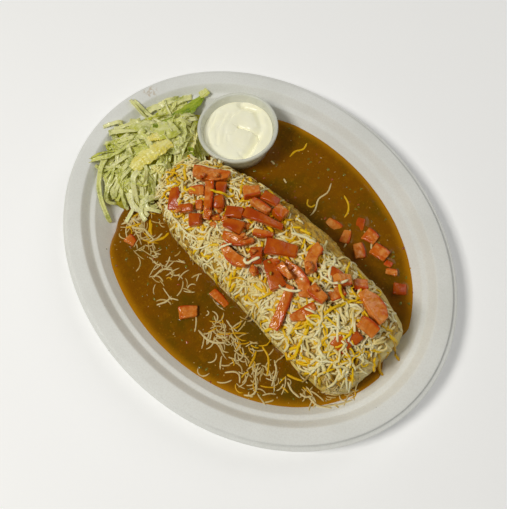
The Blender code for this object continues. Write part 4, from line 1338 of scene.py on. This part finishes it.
# Ribbons that show on the outside of the heap: (width, tone, lift, twist, path) in millimetres
OUTER_RIBBONS = (
    (3.6, 0.45, 2, (0.2, 0.6), ((-126, -24), (-124, -45), (-115, -55), (-107, -62), (-96, -66), (-86, -69))),
    (3.2, 0.30, 2, (0.4, -0.3), ((-109, -38), (-107, -52), (-104, -59), (-99, -62), (-95, -56))),
    (2.8, 0.30, 2, (0.1, 0.6), ((-112, -32), (-111, -46), (-107, -56), (-100, -60))),
    (3.4, 0.60, 3, (0.5, 0.1), ((-110, -12), (-118, -33), (-127, -44), (-131, -52))),
    (2.6, 0.80, 2, (0.3, 0.2), ((-114, -16), (-118, -28), (-129, -39), (-131, -49))),
    (4.2, 0.35, 3, (-0.3, 0.5), ((-110, -6), (-122, -18), (-130, -28), (-136, -34))),
    (4.4, 0.20, 3, (0.3, 0.3), ((-114, -2), (-126, -10), (-136, -18), (-140, -26))),
    (4.0, 0.15, 3, (0.3, 0.3), ((-118, 4), (-130, 0), (-139, -8))),
    (3.0, 0.05, 1, (0.0, 0.2), ((-141, -12), (-144, -20), (-147, -26))),
    (3.2, 0.10, 2, (0.9, 0.2), ((-126, 7), (-136, 4), (-144, 4), (-152, 4))),
    (2.4, 0.05, 2, (0.2, 0.2), ((-130, 9), (-141, 7), (-150, 6))),
    (5.2, 0.10, 2, (0.4, 0.0), ((-138, 6), (-137, 14), (-134, 22))),
    (5.0, 0.05, 2, (0.1, 0.4), ((-136, 18), (-134, 26), (-131, 35))),
    (4.4, 0.15, 2, (0.3, 0.2), ((-130, 28), (-128, 36), (-125, 44))),
    (4.0, 0.25, 3, (0.4, 0.1), ((-108, -20), (-113, -34), (-118, -46))),
    (4.4, 0.15, 3, (0.2, 0.5), ((-104, -22), (-107, -36), (-108, -50))),
    (4.0, 0.20, 3, (0.5, -0.2), ((-101, -26), (-101, -40), (-99, -54))),
    (4.2, 0.10, 3, (-0.2, 0.3), ((-96, -24), (-93, -36), (-86, -42), (-80, -46))),
    (4.4, 0.05, 3, (0.0, 0.5), ((-93, -20), (-86, -33), (-80, -42))),
    (3.8, 0.05, 3, (0.4, 0.1), ((-90, -16), (-82, -27), (-75, -31))),
    (3.4, 0.15, 3, (0.3, 0.7), ((-89, -8), (-82, -20), (-75, -27))),
    (4.8, 0.00, 3, (0.2, 0.5), ((-82, -46), (-79, -41), (-77, -34), (-76, -27))),
    (2.6, 0.05, 2, (0.0, 0.3), ((-88, -38), (-80, -50), (-76, -60))),
    (3.4, 0.10, 2, (0.1, 0.3), ((-84, -44), (-80, -44), (-74, -40), (-70, -36))),
    (3.0, 0.35, 2, (0.2, 0.6), ((-88, 16), (-78, 13), (-68, 9))),
    (2.4, 0.10, 2, (0.2, 0.6), ((-84, 20), (-74, 16), (-66, 14))),
    (3.6, 0.25, 3, (0.2, 0.6), ((-96, 22), (-88, 10), (-82, -4))),
    (3.8, 0.0, 2, (0.1, 0.4), ((-93, -40), (-84, -48), (-76, -47), (-69, -44))),
    (3.6, 0.0, 2, (0.3, 0.1), ((-90, -44), (-80, -50), (-73, -42), (-71, -34))),
    (3.2, 0.05, 2, (0.2, 0.5), ((-84, -34), (-74, -48), (-67, -48))),
    (3.0, 0.1, 2, (0.2, 0.4), ((-86, -30), (-74, -42), (-65, -35))),
    (2.0, 0.5, 2, (0.2, 0.5), ((-92, -6), (-82, -14), (-74, -26), (-68, -34))),
    (1.8, 0.3, 2, (0.2, 0.5), ((-90, 2), (-80, -8), (-72, -20))),
    (1.6, 0.7, 2, (0.2, 0.5), ((-88, 8), (-80, -2), (-74, -12))),
    (2.2, 0.4, 2, (0.2, 0.3), ((-94, 6), (-84, 2), (-77, -6))),
    (1.8, 0.6, 2, (0.2, 0.3), ((-88, -14), (-80, -22), (-76, -34))),
    (3.6, 1.0, 2, (0.2, 0.3), ((-84, 12), (-78, 4), (-72, -2))),
)

# How the pieces are thrown: (count, widths, lengths, tones, spread over the heap, depth that each adds,
# how far its middle may rise, how stiff it is, how much its heading varies)
BROAD_SCRAPS = (34, (6.0, 11.0), (14, 28), (0.1, 1.0), 0.84, 0.6, 1.5, 0.8, 1.2)
BROAD_RIBBONS = (60, (3.0, 5.6), (18, 34), (0.0, 0.9), 0.84, 0.5, 2.0, 0.7, 1.4)
TOP_SCRAPS = (26, (5.0, 9.0), (10, 20), (0.0, 1.0), 0.86, 0.5, 2.5, 0.8, 1.5)
TOP_RIBBONS = (70, (1.4, 3.4), (14, 30), (0.0, 0.7), 0.9, 0.4, 3.0, 0.6, 1.6)

lettuce_chance = np.random.default_rng(23)
scraps = strew_lettuce(lettuce_chance, *BROAD_SCRAPS)
ribbons = strew_lettuce(lettuce_chance, *BROAD_RIBBONS)
for width, tone, lift, twist, path in OUTER_RIBBONS:
    ribbons.append((*ribbon_along(path, width, twist, lift, lettuce_chance), tone))
scraps += strew_lettuce(lettuce_chance, *TOP_SCRAPS)
ribbons += strew_lettuce(lettuce_chance, *TOP_RIBBONS)
for name, strips, section, ruffle in (
    ("lettuce_scraps", scraps, strip_section(7, 4.0), 0.45 * MM),
    ("lettuce_ribbons", ribbons, strip_section(5, 2.4), 0.16 * MM),
):
    lettuce = strand_mesh(name, strips, section)
    crinkle(lettuce, ruffle, 4.5 * MM, 70)
    crinkle(lettuce, 0.4 * ruffle, 1.8 * MM, 80)
    lettuce.data.materials.append(
        make_lettuce_material(name, (246, 244, 184), (198, 202, 58), (132, 144, 0), share=0.6)
    )
    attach(lettuce, "root")


LEAF_CUTS = (40, 16)
LEAF_STATIONS = np.linspace(0, 1, 30)


def leaf_line(path, lift):
    """The smooth middle line of a leaf that lies on the heap, and the leaf's upward directions along it."""
    spots = np.linspace(0, 1, len(path))
    order = min(len(path) - 1, 3)
    flat = [np.polyval(np.polyfit(spots, np.array(row) * MM, order), LEAF_STATIONS) for row in zip(*path)]
    cells = [green_pile.cell(x, y) for x, y in zip(*flat)]
    rest = np.array([green_pile.height[cell] + min(green_pile.depth[cell], 11 * MM) for cell in cells])
    bow = np.polyval(np.polyfit(LEAF_STATIONS, rest, 2), LEAF_STATIONS)
    middle = np.column_stack([*flat, bow + 0.5 * np.maximum(rest - bow, 0).max() + lift * MM])
    along = np.gradient(middle, axis=0)
    return middle, along, unit(np.cross(np.cross(along, (0, 0, 1)), along))


def make_leaf(name, path, widths, lift, ripple, cup_depth, seed):
    """A broad piece of leaf: a fine grid laid along a path, cupped, veined and rippled, then thickened."""
    bpy.ops.mesh.primitive_grid_add(x_subdivisions=LEAF_CUTS[0], y_subdivisions=LEAF_CUTS[1], size=2)
    leaf = bpy.context.object
    leaf.name = name
    flat = read_points(leaf)
    share = (flat[:, 0] + 1) / 2
    across = flat[:, 1]
    line, heading, facing = (
        np.column_stack([np.interp(share, LEAF_STATIONS, column) for column in rows.T])
        for rows in leaf_line(path, lift)
    )
    sideways = unit(np.cross(heading, facing))
    half = np.interp(share, np.linspace(0, 1, len(widths)), widths) * MM / 2
    half = half * (1 + 0.12 * waves(share * 0.04, across * 0.001, 7 * MM, seed))
    ruffled = waves(share * 0.05, across * 0.012, 6 * MM, seed + 1)
    ruffled += 0.5 * waves(share * 0.05, across * 0.012, 2.4 * MM, seed + 2)
    wander = 0.8 * waves(share * 0.05, across * 0.01, 9 * MM, seed)
    veins = np.abs(np.sin(9 * (share - 0.5 * np.abs(across)) + wander))
    veins = np.exp(-((veins / 0.16) ** 2)) + np.exp(-((across / 0.09) ** 2))
    ruffle = ripple * MM * ruffled * (0.35 + 0.65 * np.abs(across))
    rise = cup_depth * MM * across**2 + ruffle + 0.16 * MM * veins
    write_points(leaf, line + sideways * (half * across)[:, None] + facing * (rise + 1.0 * MM)[:, None])
    write_values(leaf, "tone", np.clip(0.55 + 0.3 * across + 0.2 * ruffled - 0.45 * veins, 0, 1))
    apply_modifier(leaf, "SOLIDIFY", thickness=0.4 * MM, offset=0)
    apply_modifier(leaf, "SUBSURF", levels=1, render_levels=1)
    smooth(leaf)
    return leaf


# Broad pieces of leaf on top of the heap: (kind, path, widths, lift, ripple, cupping) in millimetres
LEAF_PIECES = (
    ("pale", ((-137, -11), (-128, -6), (-116, -2), (-108, 5), (-104, 14)), (3, 8, 13, 16, 15), 0, 0.5, -1.4),
    ("pale", ((-112, 21), (-104, 18), (-96, 12), (-90, 4)), (7, 9, 9, 6), 0, 0.6, 0.9),
    ("green", ((-114, 0), (-115, 11), (-117, 26), (-119, 40), (-119, 51)), (3, 9, 10, 9, 5), 1, 0.3, -1.2),
    ("pale", ((-121, 49), (-120, 53), (-119.5, 57)), (6, 7, 6), 1, 0.2, 0.5),
    ("yellow", ((-99, -32), (-99, -23), (-99, -14), (-97, -6), (-97, 3)), (8, 12, 13, 13, 9), 3, 0.5, -2.4),
    ("yellow", ((-108, -9), (-106, -3), (-102, 2)), (4, 7, 5), 0, 0.7, 0.6),
    ("cream", ((-97, 27), (-89, 17), (-83, 10)), (4, 6, 5), 0, 0.9, 0.6),
    ("green", ((-84, 13), (-78, 6), (-71, 0)), (4, 5, 4), 0, 0.4, 0.8),
    ("pale", ((-130, 14), (-127, 26), (-123, 38)), (6, 9, 6), 0, 0.8, 0.8),
    ("pale", ((-120, -20), (-126, -26), (-130, -34)), (5, 9, 6), 0, 0.9, 1.0),
    ("pale", ((-106, -36), (-100, -42), (-92, -44)), (5, 8, 5), 0, 0.9, 1.0),
    ("cream", ((-90, -20), (-84, -16), (-80, -8)), (4, 7, 4), 0, 0.9, 0.8),
)
# (name, rib, blade, where it is deepest, share of that)
LEAF_FINISHES = {
    "green": ("green_leaf", (180, 192, 70), (112, 146, 4), (78, 114, 0), 0.7),
    "yellow": ("heart_leaf", (252, 244, 176), (244, 228, 96), (226, 204, 30), 0.5),
    "pale": ("pale_leaf", (234, 234, 172), (200, 202, 84), (160, 168, 30), 0.5),
    "cream": ("cream_leaf", (252, 246, 190), (238, 226, 120), (214, 200, 80), 0.6),
}
leaf_materials = {kind: make_lettuce_material(*finish) for kind, finish in LEAF_FINISHES.items()}
for number, (kind, path, widths, lift, ripple, cupping) in enumerate(LEAF_PIECES):
    leaf = make_leaf(f"{kind}_leaf_{number + 1}", path, widths, lift, ripple, cupping, 60 + 3 * number)
    leaf.data.materials.append(leaf_materials[kind])
    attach(leaf, "root")

# ---------------------------------------------------------------- portion cup
# A small tapered cup with a rolled rim, formed from one sheet of clear-frosted plastic. It stands on the
# plate's floor and holds the sour cream.

cup_low, cup_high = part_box("dip_cup")
CUP_MIDDLE = ((cup_low.x + cup_high.x) / 2, (cup_low.y + cup_high.y) / 2)
CUP_RIM_RADIUS = (cup_high.x - cup_low.x) / 2
CUP_FOOT_RADIUS = 21.5 * MM
CUP_MOUTH_RADIUS = 28.6 * MM
CUP_WALL = 0.8 * MM
CUP_AROUND = 72


def move_points(piece, x, y):
    """Moves a finished shape across the plate, with its place kept in its mesh."""
    points = read_points(piece)
    write_points(piece, points + np.array((x, y, 0)))


def make_cup_material():
    """Frosted clear plastic, faintly grey-green in its thickness."""
    material, tree, shader = new_material(
        "frosted_plastic", Roughness=0.25, Specular_IOR_Level=0.5, Alpha=0.68
    )
    colour = lay_patches(tree, (236, 238, 224), (246, 247, 236), per_metre=60.0, low=0.3, high=0.7)
    tree.links.new(colour, shader["Base Color"])
    rings = add_group(tree, PATCHES, Per_metre=200.0, Low=0.3, High=0.7)["Mask"]
    tree.links.new(scale_value(tree, rings, 0, 1, 0.24, 0.36), shader["Roughness"])
    return material


def make_cup():
    """The cup's section, from its inner floor up the inside, over the rolled rim and down the outside."""
    top, bottom = cup_high.z, cup_low.z
    section = (
        (6.0 * MM, bottom + CUP_WALL),
        (CUP_FOOT_RADIUS - 2.4 * MM, bottom + CUP_WALL),
        (CUP_FOOT_RADIUS - 1.0 * MM, bottom + CUP_WALL + 0.5 * MM),
        (CUP_FOOT_RADIUS - CUP_WALL + 0.5 * MM, bottom + 3.0 * MM),
        (CUP_MOUTH_RADIUS - CUP_WALL - 0.5 * MM, top - 3.4 * MM),
        (CUP_MOUTH_RADIUS - CUP_WALL - 0.3 * MM, top - 1.2 * MM),
        (CUP_MOUTH_RADIUS - 0.7 * MM, top - 0.1 * MM),
        (CUP_MOUTH_RADIUS + 0.5 * MM, top),
        (CUP_RIM_RADIUS - 0.5 * MM, top - 0.2 * MM),
        (CUP_RIM_RADIUS, top - 0.9 * MM),
        (CUP_RIM_RADIUS, top - 2.4 * MM),
        (CUP_RIM_RADIUS - 0.5 * MM, top - 2.9 * MM),
        (CUP_MOUTH_RADIUS + 0.3 * MM, top - 2.9 * MM),
        (CUP_MOUTH_RADIUS - 0.3 * MM, top - 3.8 * MM),
        (CUP_FOOT_RADIUS + 0.5 * MM, bottom + 2.6 * MM),
        (CUP_FOOT_RADIUS, bottom + 0.4 * MM),
        (CUP_FOOT_RADIUS - 0.8 * MM, bottom),
        (6.0 * MM, bottom),
    )
    piece = oval_shell("portion_cup", [(radius, radius, height) for radius, height in section], CUP_AROUND)
    apply_modifier(piece, "SUBSURF", levels=2, render_levels=2)
    move_points(piece, *CUP_MIDDLE)
    smooth(piece)
    piece.data.materials.append(make_cup_material())
    return piece


cup = make_cup()
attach(cup, "root")
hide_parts("dip_cup")

# ---------------------------------------------------------------- sour cream
# Thick sour cream spooned into the cup and turned with the back of the spoon: a smooth mound, a trough round
# it against the wall, and a folded lobe in the middle with a sharp edge.

CREAM_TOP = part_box("sour_cream")[1].z
CREAM_EDGE = CREAM_TOP - 3.3 * MM
CREAM_RADIUS = CUP_FOOT_RADIUS + (CUP_MOUTH_RADIUS - CUP_FOOT_RADIUS) * 0.76 - 0.35 * MM
CREAM_BOTTOM = cup_low.z + 1.1 * MM
FOLD_DEPTH = 1.5
FOLD_STEP = 1.3

# Folds in the cream, in millimetres: (path from the cup's middle, width, depth, step across it)
CREAM_FOLDS = (
    (((-16, 17), (-5, 22.5), (10, 15), (18, -2), (20, -10)), 3.0, -2.0, 0.0),
    (((-2, 2), (5, 5.6), (12, 8.6), (15.4, 6.6), (19, -5), (20, -11)), 0.9, -1.0, -0.9),
    (((-2, 2), (0, -4), (-3, -8), (1.4, -11.4)), 1.0, -0.45, 0.0),
    (((15, -12), (20, -11.4), (17.4, -17)), 0.9, -0.8, 0.0),
    (((-22.6, -2.4), (-14.6, -17.4), (-7.6, -23.4)), 1.3, -0.8, 0.0),
    (((-17.6, 2.6), (-9.6, -12.4), (-1.6, -19.4)), 1.1, -0.7, 0.0),
    (((-13.6, 6), (-8.6, -5), (-0.4, -14.4)), 1.3, -0.45, 0.0),
    (((-14, 18), (-12, 10), (-13, 4)), 0.9, -0.5, 0.0),
)


def fold_relief(x, y, path, width, depth, step):
    """A soft groove along a path, with the cream a little lower on one side of it."""
    nearest = np.full(len(x), np.inf)
    side = np.zeros(len(x))
    for (ax, ay), (bx, by) in zip(path, path[1:]):
        along_x, along_y = bx - ax, by - ay
        share = np.clip(((x - ax) * along_x + (y - ay) * along_y) / (along_x**2 + along_y**2), 0, 1)
        off_x, off_y = x - ax - share * along_x, y - ay - share * along_y
        away = np.hypot(off_x, off_y)
        closer = away < nearest
        turned = np.sign(along_x * off_y - along_y * off_x)
        side = np.where(closer, turned, side)
        nearest = np.where(closer, away, nearest)
    groove = depth * np.exp(-((nearest / width) ** 2))
    return groove + step * np.where(side > 0, 1, 0) * np.exp(-((nearest / (4 * width)) ** 2))


def make_cream_material():
    """Sour cream: ivory white and glossy, with a faint warm painted glow that lifts its shade."""
    # The weak warm emission is a painted glow that brightens the cream, not a lamp.
    material, tree, shader = new_material(
        "sour_cream", Roughness=0.16, Specular_IOR_Level=0.4, Emission_Strength=0.09,
        Emission_Color=tint(255, 250, 222),
    )
    colour = lay_patches(tree, (255, 253, 228), (253, 250, 220), per_metre=70.0, low=0.35, high=0.65)
    finish_faces(tree, shader, colour, coarse=120.0, fine=420.0, fine_share=0.35, depth=0.0006)
    return material


def make_cream():
    """A closed plug of cream that reaches just into the cup's wall, its face shaped by the folds."""
    rings = [(share * CREAM_RADIUS, share * CREAM_RADIUS, CREAM_BOTTOM) for share in (0.3, 0.78)]
    rings += [(share * CREAM_RADIUS, share * CREAM_RADIUS, CREAM_EDGE) for share in np.linspace(1, 0.01, 30)]
    piece = oval_shell("sour_cream_swirl", rings, CUP_AROUND)
    edit_all(bpy.ops.mesh.subdivide, number_cuts=1)
    points = read_points(piece)
    x, y = points[:, 0] / MM, points[:, 1] / MM
    radius = np.hypot(x, y) / (CREAM_RADIUS / MM)
    relief = 2.6 * (1 - radius**2) + 0.35 * waves(x, y, 16, 41)
    for path, width, depth, step in CREAM_FOLDS:
        relief += fold_relief(x, y, path, width, FOLD_DEPTH * depth, FOLD_STEP * step)
    relief += 1.5 * np.exp(-(((1 - radius) / 0.045) ** 2)) * np.clip(0.5 + x / 40 + y / 60, 0, 1)
    face = points[:, 2] > CREAM_EDGE - 1e-5
    points[:, 2] = np.where(face, np.minimum(CREAM_EDGE + relief * MM, CREAM_TOP), points[:, 2])
    write_points(piece, points)
    apply_modifier(piece, "SMOOTH", factor=0.5, iterations=1)
    move_points(piece, *CUP_MIDDLE)
    smooth(piece)
    piece.data.materials.append(make_cream_material())
    return piece


cream = make_cream()
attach(cream, "root")
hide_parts("sour_cream")

# ---------------------------------------------------------------- table, light and camera
# A plain pale table top, a soft main lamp from the left and front, a larger and weaker one from behind, and a
# dim pale surround. The camera looks down at the plate from its front and right.


def make_table_material():
    """Plain pale board with the faintest unevenness."""
    material, tree, shader = new_material(
        "pale_table", Roughness=0.8, Specular_IOR_Level=0.1, Emission_Strength=0.12,
        Emission_Color=tint(255, 255, 255),
    )
    colour = lay_patches(tree, (254, 254, 254), (255, 255, 255), per_metre=6.0, low=0.2, high=0.8)
    tree.links.new(colour, shader["Base Color"])
    return material


bpy.ops.mesh.primitive_plane_add(size=6, location=(0, 0, -0.0002))
table = bpy.context.object
table.name = "table"
table.data.materials.append(make_table_material())


def add_lamp(name, turn, height, distance, size, power, colour):
    """A square soft lamp that looks at the food from this turn and height, in degrees."""
    turn, height = math.radians(turn), math.radians(height)
    flat = math.cos(height)
    out = Vector((flat * math.cos(turn), flat * math.sin(turn), math.sin(height)))
    light = bpy.data.lights.new(name, "AREA")
    light.size = size
    light.energy = power
    light.color = colour
    lamp = bpy.data.objects.new(name, light)
    lamp.location = out * distance
    lamp.rotation_euler = out.to_track_quat("Z", "Y").to_euler()
    bpy.context.scene.collection.objects.link(lamp)


add_lamp("key_lamp", turn=250, height=57, distance=1.5, size=0.4, power=12.6, colour=(1.0, 0.985, 0.94))
add_lamp("fill_lamp", turn=86, height=40, distance=1.6, size=0.9, power=4.8, colour=(1.0, 0.99, 0.97))

world = bpy.data.worlds.new("studio")
world.use_nodes = True
surround = world.node_tree.nodes["Background"].inputs
surround["Color"].default_value = (0.98, 0.98, 0.92, 1.0)
surround["Strength"].default_value = 0.13
bpy.context.scene.world = world
bpy.context.scene.view_settings.view_transform = "Standard"

CAMERA_AT = (0.13439, -0.08698, 0.42023)
CAMERA_AXES = Matrix((
    (0.65248, -0.69985, 0.29067),
    (0.75603, 0.62744, -0.18639),
    (-0.05193, 0.34137, 0.93849),
))
CAMERA_SENSOR = 36
CAMERA_LENS = 42.436
camera = bpy.data.objects.new("camera", bpy.data.cameras.new("camera"))
camera.data.sensor_width = CAMERA_SENSOR
camera.data.lens = CAMERA_LENS
camera.data.clip_start = 0.01
camera.matrix_world = Matrix.Translation(CAMERA_AT) @ CAMERA_AXES.to_4x4()
bpy.context.scene.collection.objects.link(camera)
bpy.context.scene.camera = camera
